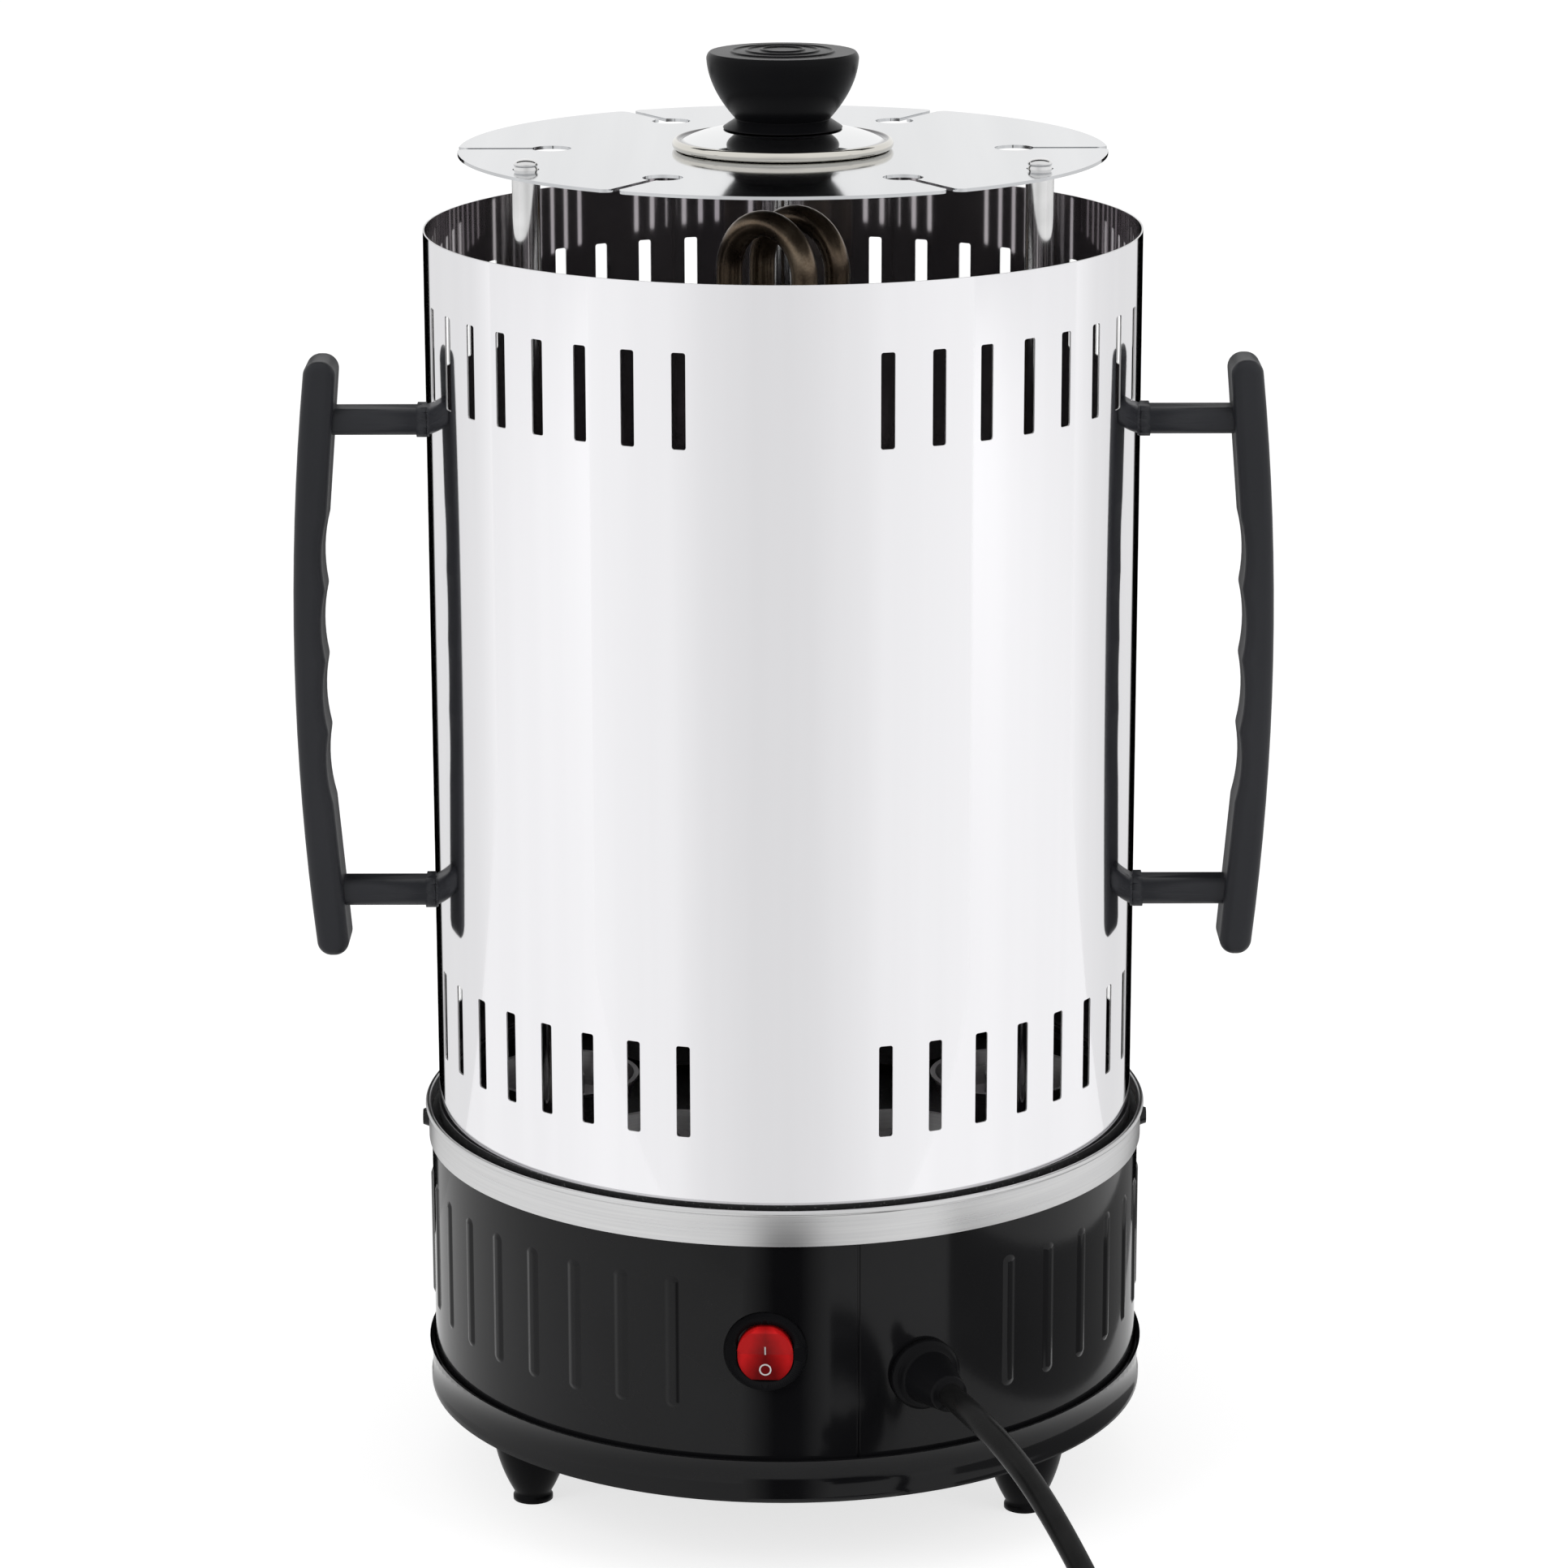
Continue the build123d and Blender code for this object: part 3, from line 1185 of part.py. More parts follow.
# Plug at the end of the coil
plug_out = coil_path.line % 1
plug_start = coil_path.line @ 1
plug_plane = Plane(plug_start, x_dir=Vector(0, 0, 1), z_dir=Vector(0, 0, 1).cross(plug_out))
plug_l = PLUG_BOOT_L + PLUG_GRIP_L + PLUG_FACE_L
with BuildPart() as plug_body:
    with BuildSketch(plug_plane):
        with BuildLine():
            Polyline(
                (0, 0),
                (PLUG_BOOT_TIP_R, 0),
                (PLUG_BOOT_R, PLUG_BOOT_L),
                (PLUG_GRIP_R, PLUG_BOOT_L + PLUG_GRIP_L / 4),
                (PLUG_GRIP_R, PLUG_BOOT_L + PLUG_GRIP_L * 0.75),
                (PLUG_R, PLUG_BOOT_L + PLUG_GRIP_L),
                (PLUG_R, plug_l),
                (0, plug_l),
                close=True,
            )
        make_face()
    revolve(axis=Axis(plug_start, plug_out))
    plug_face = Plane(plug_start + plug_out * plug_l, x_dir=Vector(0, 0, 1).cross(plug_out), z_dir=plug_out)
    with BuildSketch(plug_face):
        with GridLocations(PLUG_PIN_SPACING, 0, 2, 1):
            Circle(PLUG_ROOT_R + SNUG)
    extrude(amount=-PLUG_PIN_SET, mode=Mode.SUBTRACT)
keep(plug_body, "plug_body")

with BuildPart() as plug_pins:
    with BuildSketch(plug_face):
        with GridLocations(PLUG_PIN_SPACING, 0, 2, 1):
            Circle(PLUG_PIN_R)
    extrude(amount=PLUG_PIN_L)
    with BuildSketch(plug_face):
        with GridLocations(PLUG_PIN_SPACING, 0, 2, 1):
            Circle(PLUG_ROOT_R)
    extrude(amount=-PLUG_PIN_SET)
keep(plug_pins, "plug_pins")
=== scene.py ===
import json
import math

import bmesh
import bpy
from mathutils import Matrix, Vector


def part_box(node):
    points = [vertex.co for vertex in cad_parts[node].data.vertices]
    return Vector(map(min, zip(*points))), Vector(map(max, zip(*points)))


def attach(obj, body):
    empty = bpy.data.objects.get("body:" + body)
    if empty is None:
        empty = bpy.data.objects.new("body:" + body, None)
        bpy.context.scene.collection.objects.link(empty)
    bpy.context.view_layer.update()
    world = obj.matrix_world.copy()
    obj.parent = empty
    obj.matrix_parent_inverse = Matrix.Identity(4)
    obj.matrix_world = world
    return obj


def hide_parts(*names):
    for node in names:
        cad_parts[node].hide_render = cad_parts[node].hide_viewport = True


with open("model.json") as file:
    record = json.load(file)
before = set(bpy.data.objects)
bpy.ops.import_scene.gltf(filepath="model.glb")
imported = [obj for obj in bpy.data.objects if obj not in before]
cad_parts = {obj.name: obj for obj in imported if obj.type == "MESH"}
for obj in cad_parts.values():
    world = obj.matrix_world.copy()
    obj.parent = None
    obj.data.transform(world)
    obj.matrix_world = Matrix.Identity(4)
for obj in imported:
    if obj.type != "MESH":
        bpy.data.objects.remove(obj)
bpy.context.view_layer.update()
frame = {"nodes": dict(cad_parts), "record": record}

# Metres, in the row frame: the table is z = 0, the front faces -Y.
# Angles are counted in degrees from the front, towards +X.

MM = 0.001
MERGE = 1e-6

# Camera
CAMERA_AT = (0.0, -1.5827, 0.6479)
CAMERA_PITCH = 15.004
CAMERA_ROLL = -0.106
CAMERA_LENS = 119.56
SENSOR = 36.0

# Finish of all pieces
SHEET = 0.8 * MM
EDGE = 0.2 * MM
FINE_EDGE = 0.15 * MM
EDGE_FROM = 35

# Casing
CASING_T = 0.5 * MM
SLOT_W = 4.3 * MM
SLOT_H = 28.4 * MM
SLOT_MARGIN = 20.2 * MM
SLOT_CORNER = 0.7 * MM
SLOT_PITCH = 15.935 * MM
SLOTS_PER_GROUP = 8
SLOT_GROUPS = (45, 135, 225, 315)
CASING_STEP = 1.1
WALL_SIDE = 0.9

# Base
BASE_TURN = -3.0
RING_LIP_R = 0.9 * MM
RING_LIP_ARC = (-150, 180)
DRUM_STEPS = 180
RIB_W = 3.2 * MM
RIB_H = 41.0 * MM
RIB_RISE = 0.7 * MM
RIB_FOOT_W = 5.8 * MM
RIB_SINK = 0.1 * MM
RIB_STEPS = 8
RIB_FLANK = 0.42
RIB_SEGMENTS = 20
RIB_MID = 48.5 * MM
RIB_PITCH = 8.57
RIB_FIRST = 14.6
RIBS_PER_SIDE = 19
RIBS_SKIPPED = 3
SEAM_ANGLE = 11.4
SEAM_W = 0.7 * MM
SEAM_DEPTH = 0.4 * MM
FLANGE_W = 11.0 * MM

# Posts, saucer and knob
POST_R = 4.2 * MM
POST_TIP_R = 3.7 * MM
POST_TIP_H = 3.2 * MM
POST_TIP_ARC = (-25, 85)
STUD_R = 2.5 * MM
STUD_L = 31.5 * MM
DISC_T = 1.0 * MM
SAUCER_TOP_R = 13.0 * MM
SAUCER_R = 34.5 * MM
SAUCER_ROLL_R = 1.6 * MM
SAUCER_ROLL_ARC = (143, -190)
SAUCER_BORE_R = 2.7 * MM
SAUCER_HUB_R = 8.9 * MM
KNOB_STEPS = 18
KNOB_EDGE_H = 2.6 * MM
KNOB_EDGE_ARC = (8, 52)
KNOB_CROWN = 1.0 * MM
KNOB_NECK_R = 14.4 * MM
KNOB_NECK_H = 2.8 * MM
KNOB_LEAN = 0.06
KNOB_FOOT_R = 18.2 * MM
KNOB_FOOT_H = 0.25 * MM
KNOB_RIDGES = (6.5 * MM, 11.0 * MM, 15.5 * MM)
KNOB_RIDGE_W = 1.3 * MM
KNOB_RIDGE_H = 0.4 * MM
KNOB_RIDGE_FORM = ((0.5, 0), (0.2, 1), (-0.2, 1), (-0.5, 0))

# Switch
FACE_R = 112.6 * MM
SWITCH_ANGLE = -3.0
SWITCH_Z = 77.0 * MM
ROCKER_R = 7.0 * MM
ROCKER_PIVOT_IN = 1.5 * MM
ROCKER_FACE_OUT = 2.8 * MM
ROCKER_TILT = 20.0
MARK_STROKE = 0.42 * MM
MARK_T = 0.1 * MM
ON_MARK_H = 3.0 * MM
ON_MARK_UP = 1.4 * MM
OFF_MARK_R = 1.85 * MM
OFF_MARK_DOWN = 4.95 * MM

# Cord
CORD_D = 7.5 * MM
GLAND_ANGLE = 21.9
GLAND_Z = 67.0 * MM
GLAND_TIP_R = 132.6 * MM
CORD_STRAIGHT = 14.0 * MM
CORD_FALL = (
    (0.0655, -0.1495, 0.0605),
    (0.0760, -0.1615, 0.0490),
    (0.0870, -0.1740, 0.0320),
    (0.0970, -0.1900, 0.0150),
)
CORD_LANDING = (0.1035, -0.2100)
COIL_AT = (57.0 * MM, -236.0 * MM)
COIL_R = 49.0 * MM
COIL_STEP = 8.12 * MM
COIL_Z = 4.85 * MM
COIL_TURNS_IN = 2.0
COIL_TURNS_OUT = 1.75
COIL_CROSSING = 0.5
COIL_POINTS = 36
PLUG_AXIS_Z = 19.0 * MM

# Light
WORLD_LIGHT = 0.55
FLOOR_SIZE = 6.0
FLOOR_GLOW = 0.72
FLOOR_GLOW_IN_GLOSS = 0.58


def around(radius, angle, height=0.0):
    """The point at an angle from the front."""
    a = math.radians(angle)
    return Vector((radius * math.sin(a), -radius * math.cos(a), height))


def facing(radius, angle, height):
    """Places a piece drawn on its xy plane so that it faces outwards, its x level and its y up."""
    out = around(1, angle)
    level = Vector((0, 0, 1)).cross(out)
    turn = Matrix((level, Vector((0, 0, 1)), out)).transposed().to_4x4()
    return Matrix.Translation(around(radius, angle, height)) @ turn


class Socket:
    """An output of a shader node that can be used in sums."""

    def __init__(self, graph, link):
        self.graph = graph
        self.link = link

    def math(self, operation, other):
        return self.graph.node("ShaderNodeMath", {"operation": operation}, {0: self, 1: other})

    def __add__(self, other):
        return self.math("ADD", other)

    __radd__ = __add__

    def __mul__(self, other):
        return self.math("MULTIPLY", other)

    __rmul__ = __mul__

    def __or__(self, other):
        return self.math("MAXIMUM", other)


class Graph:
    """A tree of shader nodes that ends in a shader."""

    def __init__(self, owner, shader):
        owner.use_nodes = True
        self.tree = owner.node_tree
        self.shader = self.tree.nodes[shader]

    def set(self, socket, value):
        """Gives a shader socket a number, a colour or a link."""
        self.join(self.shader.inputs[socket], value)

    def join(self, socket, value):
        if isinstance(value, Socket):
            self.tree.links.new(value.link, socket)
        else:
            socket.default_value = value

    def node(self, kind, settings=None, inputs=None, output=0):
        """Adds a node: its settings first, then the values or links of its sockets."""
        made = self.tree.nodes.new(kind)
        for key, value in (settings or {}).items():
            setattr(made, key, value)
        for key, value in (inputs or {}).items():
            self.join(made.inputs[key], value)
        return Socket(self, made.outputs[output])

    def ray(self, kind):
        """1 for rays of a kind, otherwise 0."""
        return self.node("ShaderNodeLightPath", output=f"Is {kind} Ray")


class Finish(Graph):
    """A material with its shader, and the nodes that vary it."""

    def __init__(self, name, **values):
        self.name = name
        self.material = bpy.data.materials.new(name)
        super().__init__(self.material, "Principled BSDF")
        for key, value in values.items():
            self.set(key.replace("_", " "), value)

    def place(self, stretch=(1, 1, 1), centre=(0, 0, 0)):
        """The point on the object, counted from a centre and stretched."""
        inputs = {
            "Vector": self.node("ShaderNodeTexCoord", output="Object"),
            "Location": [-c * s for c, s in zip(centre, stretch)],
            "Scale": stretch,
        }
        return self.node("ShaderNodeMapping", {}, inputs)

    def offset(self, axis, centre):
        """How far a point lies from a centre along an axis."""
        return self.node("ShaderNodeSeparateXYZ", {}, {"Vector": self.place(centre=centre)}, axis)

    def aside(self, centre, reach):
        """How far a point lies to the left or right of a centre, 1 at the reach."""
        share = self.offset("X", centre) * (1 / reach)
        return self.node("ShaderNodeMath", {"operation": "ABSOLUTE"}, {0: share})

    def noise(self, scale, stretch=(1, 1, 1), detail=3.0):
        """Noise from 0 to 1 with so many waves in a metre."""
        inputs = {"Vector": self.place(stretch), "Scale": scale, "Detail": detail}
        return self.node("ShaderNodeTexNoise", {}, inputs)

    def ramp(self, value, stops):
        """Colours a value by a ramp of (place, colour) pairs."""
        colour = self.node("ShaderNodeValToRGB", {}, {0: value})
        elements = colour.link.node.color_ramp.elements
        while len(elements) < len(stops):
            elements.new(1.0)
        for element, (place, shade) in zip(elements, stops):
            element.position = place
            element.color = (*shade, 1.0)
        return colour

    def bump(self, height, strength, distance):
        inputs = {"Strength": strength, "Distance": distance, "Height": height}
        self.set("Normal", self.node("ShaderNodeBump", {}, inputs))

    def tone(self, dark, light, value):
        """Colours the surface between two tones."""
        self.set("Base Color", self.ramp(value, ((0.3, dark), (0.7, light))))


def polished_steel():
    """Mirror-bright rolled sheet with faint upright roll marks and wiped patches."""
    finish = Finish("polished_steel", Metallic=1.0)
    rolled = finish.noise(60, (1, 1, 0.02))
    wiped = finish.noise(14)
    finish.tone((0.865, 0.86, 0.88), (0.905, 0.90, 0.92), rolled)
    finish.set("Roughness", 0.03 + 0.03 * wiped + 0.02 * rolled)
    finish.bump(rolled, 0.02, 0.2 * MM)
    return finish


def heat_stain_and_shade_steel():
    """The casing's inner face: the same sheet, darkened as painted shade and faintly browned by
    the heater.
    """
    finish = Finish("heat_stain_and_shade_steel", Metallic=0.88)
    stain = finish.noise(26, (1, 1, 0.4))
    # Painted shade: the inner face's tone is darkened to stand for the shade inside the casing.
    # The slight brown is a real heat stain.
    finish.tone((0.36, 0.33, 0.36), (0.51, 0.48, 0.49), stain)
    finish.set("Roughness", 0.03 + 0.03 * stain)
    return finish


def disc_steel():
    """Flat sheet with a fine bluish polish and faint straight roll marks."""
    finish = Finish("disc_steel", Metallic=1.0)
    rolled = finish.noise(70, (1, 0.03, 1))
    wiped = finish.noise(20)
    finish.tone((0.585, 0.595, 0.61), (0.655, 0.665, 0.68), rolled)
    finish.set("Roughness", 0.05 + 0.05 * wiped)
    finish.bump(rolled, 0.02, 0.2 * MM)
    return finish


def saucer_steel():
    """Polished like the casing, with painted shade in the groove behind the rim, and the rim
    painted darker and yellowish as a reflection.
    """
    finish = Finish("saucer_steel", Metallic=1.0)
    wiped = finish.noise(30)
    level = finish.place((1 / SAUCER_R, 1 / SAUCER_R, 0))
    out = finish.node("ShaderNodeVectorMath", {"operation": "LENGTH"}, {0: level}, "Value")
    # Painted shade and reflection: the groove ring is painted near black for the shade in the
    # crease, and the rim darker and yellowish for what it reflects.
    dome, groove, rim = (0.82, 0.825, 0.83), (0.06, 0.055, 0.06), (0.66, 0.64, 0.59)
    stops = ((0.87, dome), (0.91, groove), (0.928, groove), (0.945, rim))
    finish.set("Base Color", finish.ramp(out, stops))
    finish.set("Roughness", 0.04 + 0.04 * wiped)
    return finish


def cut_steel():
    """The sheared edges of the sheet: bright and dull."""
    finish = Finish("cut_steel", Metallic=1.0)
    tears = finish.noise(1800, (1, 1, 0.1))
    finish.tone((0.80, 0.80, 0.80), (0.92, 0.92, 0.92), tears)
    finish.set("Roughness", 0.45 + 0.1 * tears)
    return finish


def brushed_steel():
    """Sheet brushed round its axis."""
    finish = Finish("brushed_steel", Metallic=1.0)
    lines = finish.noise(1500, (0.012, 0.012, 1), 4.0)
    patches = finish.noise(18)
    finish.tone((0.60, 0.60, 0.605), (0.68, 0.68, 0.68), lines)
    finish.set("Roughness", 0.22 + 0.08 * lines + 0.06 * patches)
    finish.bump(lines, 0.05, 0.05 * MM)
    return finish


def plated_steel():
    """Plated rod with a few dull patches."""
    finish = Finish("plated_steel", Metallic=1.0)
    patches = finish.noise(90)
    finish.tone((0.68, 0.68, 0.68), (0.80, 0.80, 0.80), patches)
    finish.set("Roughness", 0.06 + 0.12 * patches)
    return finish


def turned_steel():
    """Turned steel with the fine rings of the lathe."""
    finish = Finish("turned_steel", Metallic=1.0)
    rings = finish.noise(2500, (0.01, 0.01, 1))
    finish.tone((0.42, 0.42, 0.43), (0.58, 0.58, 0.58), rings)
    finish.set("Roughness", 0.28 + 0.15 * rings)
    return finish


def black_enamel():
    """Gloss black stove enamel with a slight orange peel."""
    finish = Finish("black_enamel", Specular_IOR_Level=0.22)
    peel = finish.noise(420)
    clouds = finish.noise(22)
    finish.tone((0.0045, 0.0045, 0.005), (0.008, 0.008, 0.009), clouds)
    finish.set("Roughness", 0.07 + 0.06 * clouds)
    finish.bump(peel, 0.05, 0.1 * MM)
    return finish


def tray_enamel():
    """Dark enamel with pale flecks, dulled by heat."""
    finish = Finish("tray_enamel")
    flecks = finish.noise(1400, detail=1.0)
    dark, middle, pale = (0.010, 0.010, 0.011), (0.014, 0.014, 0.015), (0.10, 0.10, 0.10)
    finish.set("Base Color", finish.ramp(flecks, ((0.0, dark), (0.66, middle), (0.72, pale))))
    finish.set("Roughness", 0.35 + 0.2 * finish.noise(40))
    return finish


def moulded_plastic(name, dark, light, rough, grain_strength, gloss=0.5):
    """Moulded plastic with a fine spark-eroded grain and a faint flow of tone."""
    finish = Finish(name, Specular_IOR_Level=gloss)
    grain = finish.noise(3200, detail=2.0)
    flow = finish.noise(30, (1, 1, 0.3))
    finish.tone(dark, light, flow)
    finish.set("Roughness", rough + 0.1 * flow + 0.06 * grain)
    finish.bump(grain, grain_strength, 0.08 * MM)
    return finish


def red_plastic():
    """Clear red plastic, deeper in the middle and brighter towards the sides and top, as painted
    light.
    """
    finish = Finish("red_plastic", Specular_IOR_Level=0.1)
    centre = around(FACE_R, SWITCH_ANGLE, SWITCH_Z)
    sideways = finish.aside(centre, ROCKER_R)
    upwards = finish.offset("Z", centre)
    # Painted light: the rocker's colour is brightened towards its sides and top, where light falls
    # and shines through.
    painted_light = 0.8 * sideways + 0.35 * finish.noise(220) + upwards * (0.35 / ROCKER_R)
    deep, middle, bright = (0.17, 0.004, 0.005), (0.42, 0.008, 0.009), (0.72, 0.014, 0.016)
    finish.set("Base Color", finish.ramp(painted_light, ((0.1, deep), (0.5, middle), (0.9, bright))))
    finish.set("Roughness", 0.16 + 0.1 * painted_light)
    return finish


def heater_steel():
    """Sheathed element, browned and bronzed by heat, darker in blotches."""
    finish = Finish("heater_steel", Metallic=0.85)
    blotches = finish.noise(70)
    fine = finish.noise(1500)
    burnt, brown, bronzed = (0.055, 0.042, 0.033), (0.17, 0.125, 0.085), (0.36, 0.29, 0.21)
    stops = ((0.25, burnt), (0.5, brown), (0.75, bronzed))
    finish.set("Base Color", finish.ramp(blotches * 0.8 + fine * 0.2, stops))
    finish.set("Roughness", 0.2 + 0.2 * blotches)
    finish.bump(fine, 0.08, 0.1 * MM)
    return finish


def cord_rubber():
    """Black cord sheath with a faint lengthwise sheen."""
    finish = Finish("cord_rubber", Specular_IOR_Level=0.16)
    bloom = finish.noise(120)
    grain = finish.noise(2600)
    finish.tone((0.005, 0.005, 0.005), (0.011, 0.011, 0.011), bloom)
    finish.set("Roughness", 0.22 + 0.12 * bloom)
    finish.bump(grain, 0.08, 0.1 * MM)
    return finish


def bronze():
    """Worn bronze."""
    finish = Finish("bronze", Metallic=1.0)
    worn = finish.noise(200)
    finish.tone((0.38, 0.26, 0.10), (0.66, 0.50, 0.24), worn)
    finish.set("Roughness", 0.3 + 0.2 * worn)
    return finish


def white_print():
    """White pad print, slightly worn."""
    finish = Finish("white_print")
    worn = finish.noise(900)
    finish.tone((0.72, 0.70, 0.69), (0.85, 0.84, 0.83), worn)
    finish.set("Roughness", 0.45 + 0.1 * worn)
    return finish


made_finishes = (
    polished_steel(),
    heat_stain_and_shade_steel(),
    cut_steel(),
    disc_steel(),
    saucer_steel(),
    brushed_steel(),
    plated_steel(),
    turned_steel(),
    black_enamel(),
    tray_enamel(),
    moulded_plastic(
        "charcoal_plastic", (0.022, 0.023, 0.027), (0.034, 0.035, 0.040), 0.27, 0.1, gloss=0.2
    ),
    moulded_plastic(
        "black_plastic", (0.004, 0.004, 0.0045), (0.007, 0.007, 0.008), 0.22, 0.03, gloss=0.06
    ),
    red_plastic(),
    heater_steel(),
    cord_rubber(),
    moulded_plastic("white_ceramic", (0.68, 0.66, 0.62), (0.80, 0.78, 0.74), 0.35, 0.05),
    moulded_plastic("nylon", (0.70, 0.69, 0.64), (0.80, 0.79, 0.75), 0.4, 0.03),
    moulded_plastic("motor_housing", (0.26, 0.27, 0.29), (0.36, 0.37, 0.39), 0.35, 0.05),
    bronze(),
    white_print(),
)
finishes = {finish.name: finish for finish in made_finishes}

bodies = frame["record"]["behaviour"]["bodies"]
slot_of = {part["node"]: part["material_slot"] for part in frame["record"]["subparts"]}
body_of = {node: body for body, nodes in bodies.items() for node in nodes}


def add(name, data):
    """Adds an object to the scene."""
    made = bpy.data.objects.new(name, data)
    bpy.context.scene.collection.objects.link(made)
    return made


def add_mesh(bm, name, finish):
    """Adds a finished mesh to the scene, in one material."""
    mesh = bpy.data.meshes.new(name)
    bm.to_mesh(mesh)
    bm.free()
    mesh.materials.append(finish.material)
    return add(name, mesh)


def show(bm, name, node, finish=None, edge=0.0, sharp=None):
    """Makes a finished mesh a piece that stands for a CAD node and moves with its body."""
    piece = add_mesh(bm, name, finishes[finish or slot_of[node]])
    piece.data.shade_smooth()
    if sharp:
        piece.data.set_sharp_from_angle(angle=math.radians(sharp))
    if edge:
        bevel = piece.modifiers.new("edge", "BEVEL")
        bevel.width = edge
        bevel.segments = 2
        bevel.limit_method = "ANGLE"
        bevel.angle_limit = math.radians(EDGE_FROM)
        piece.modifiers.new("flats", "WEIGHTED_NORMAL").keep_sharp = True
    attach(piece, body_of[node])
    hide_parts(node)
    return piece


def merged(node):
    """A copy of a CAD node's mesh with its triangles joined."""
    bm = bmesh.new()
    bm.from_mesh(frame["nodes"][node].data)
    bmesh.ops.remove_doubles(bm, verts=bm.verts, dist=2 * MERGE)
    return bm


def tidy(bm):
    """Joins doubled points and turns the faces outwards."""
    bmesh.ops.remove_doubles(bm, verts=bm.verts, dist=MERGE)
    bmesh.ops.recalc_face_normals(bm, faces=bm.faces)
    return bm


def turned(outline, steps, matrix=Matrix()):
    """Turns a closed outline of (radius, height) points about Z."""
    bm = bmesh.new()
    points = [bm.verts.new((radius, 0, height)) for radius, height in outline]
    edges = [bm.edges.new(pair) for pair in zip(points, points[1:] + points[:1])]
    on_axis = [e for e in edges if max(v.co.x for v in e.verts) < MERGE]
    bmesh.ops.delete(bm, geom=on_axis, context="EDGES_FACES")
    line = [e for e in edges if e.is_valid]
    bmesh.ops.spin(
        bm,
        geom=points + line,
        cent=(0, 0, 0),
        axis=(0, 0, 1),
        angle=math.tau,
        steps=steps,
        use_merge=True,
        use_duplicate=False,
    )
    bmesh.ops.transform(bm, matrix=matrix, verts=bm.verts)
    return tidy(bm)


def arc(centre, radius, start, end, steps):
    """Points of an arc in an outline, angles in degrees from the outward direction."""
    angles = [math.radians(start + (end - start) * i / steps) for i in range(steps + 1)]
    return [(centre[0] + radius * math.cos(a), centre[1] + radius * math.sin(a)) for a in angles]


def casing_shell():
    """The rolled casing: one turn of sheet with its two rows of slots cut out."""
    low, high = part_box("casing")
    radius = high.x
    rows = [low.z + SLOT_MARGIN, high.z - SLOT_MARGIN - SLOT_H]
    heights = [low.z, rows[0], rows[0] + SLOT_H, rows[1], rows[1] + SLOT_H, high.z]
    step = math.degrees(SLOT_PITCH / radius)
    span = step * (SLOTS_PER_GROUP - 1)
    slots = [g - span / 2 + step * i for g in SLOT_GROUPS for i in range(SLOTS_PER_GROUP)]
    half = math.degrees(SLOT_W / radius) / 2
    cuts = [0.0] + [s + side for s in slots for side in (-half, half)] + [360.0]
    bm = bmesh.new()
    line = [bm.verts.new(around(radius, 0, z)) for z in heights]
    strip = line + [bm.edges.new(pair) for pair in zip(line, line[1:])]
    for start, end in zip(cuts, cuts[1:]):
        turn = bmesh.ops.spin(
            bm,
            geom=strip,
            cent=(0, 0, 0),
            axis=(0, 0, 1),
            angle=math.radians(end - start),
            steps=max(2, round((end - start) / CASING_STEP)),
            use_duplicate=False,
        )
        strip = turn["geom_last"]
    tidy(bm)

    def in_slot(point):
        angle = math.degrees(math.atan2(point.x, -point.y)) % 360
        beside = min(abs(angle - s) for s in slots)
        return beside < half and any(z < point.z < z + SLOT_H for z in rows)

    holes = [f for f in bm.faces if in_slot(f.calc_center_median())]
    bmesh.ops.delete(bm, geom=holes, context="FACES")
    corners = [v for v in bm.verts if v.is_boundary and len(v.link_faces) == 3]
    bmesh.ops.bevel(
        bm,
        geom=corners,
        offset=SLOT_CORNER,
        segments=3,
        profile=0.5,
        affect="VERTICES",
        material=-1,
    )
    face = bm.faces[:][0]
    if face.normal.dot(on_table(face.calc_center_median())) < 0:
        bmesh.ops.reverse_faces(bm, faces=bm.faces)
    bmesh.ops.solidify(bm, geom=bm.faces[:], thickness=CASING_T)
    shell = show(bm, "casing_shell", "casing")
    for finish in ("heat_stain_and_shade_steel", "cut_steel"):
        shell.data.materials.append(finishes[finish].material)
    round_normals(shell.data)
    return shell


def on_table(point):
    """A point brought down to the table."""
    return Vector((point.x, point.y, 0))


def round_normals(mesh):
    """Shades an upright shell as truly round, and finishes its inner wall and its edges."""
    normals = [Vector()] * len(mesh.loops)
    for face in mesh.polygons:
        side = face.normal.dot(on_table(face.center).normalized())
        if side < WALL_SIDE:
            face.material_index = 1 if side < -WALL_SIDE else 2
        for index in face.loop_indices:
            if abs(side) > WALL_SIDE:
                out = on_table(mesh.vertices[mesh.loops[index].vertex_index].co).normalized()
                normals[index] = out * math.copysign(1, side)
            else:
                normals[index] = face.normal.copy()
    mesh.normals_split_custom_set(normals)


def rolled_ring():
    """The steel ring round the drum, its upper edge rolled outwards."""
    low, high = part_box("rim_ring")
    lip = RING_LIP_R
    wall_in = high.x - 2 * lip
    wall_out = wall_in + SHEET
    roll = arc((high.x - lip, high.z - lip), lip, *RING_LIP_ARC, 12)
    outline = [(wall_in, low.z), (wall_out, low.z), (wall_out, high.z - 2 * lip)] + roll
    return show(turned(outline, 160), "rolled_ring", "rim_ring", edge=FINE_EDGE)


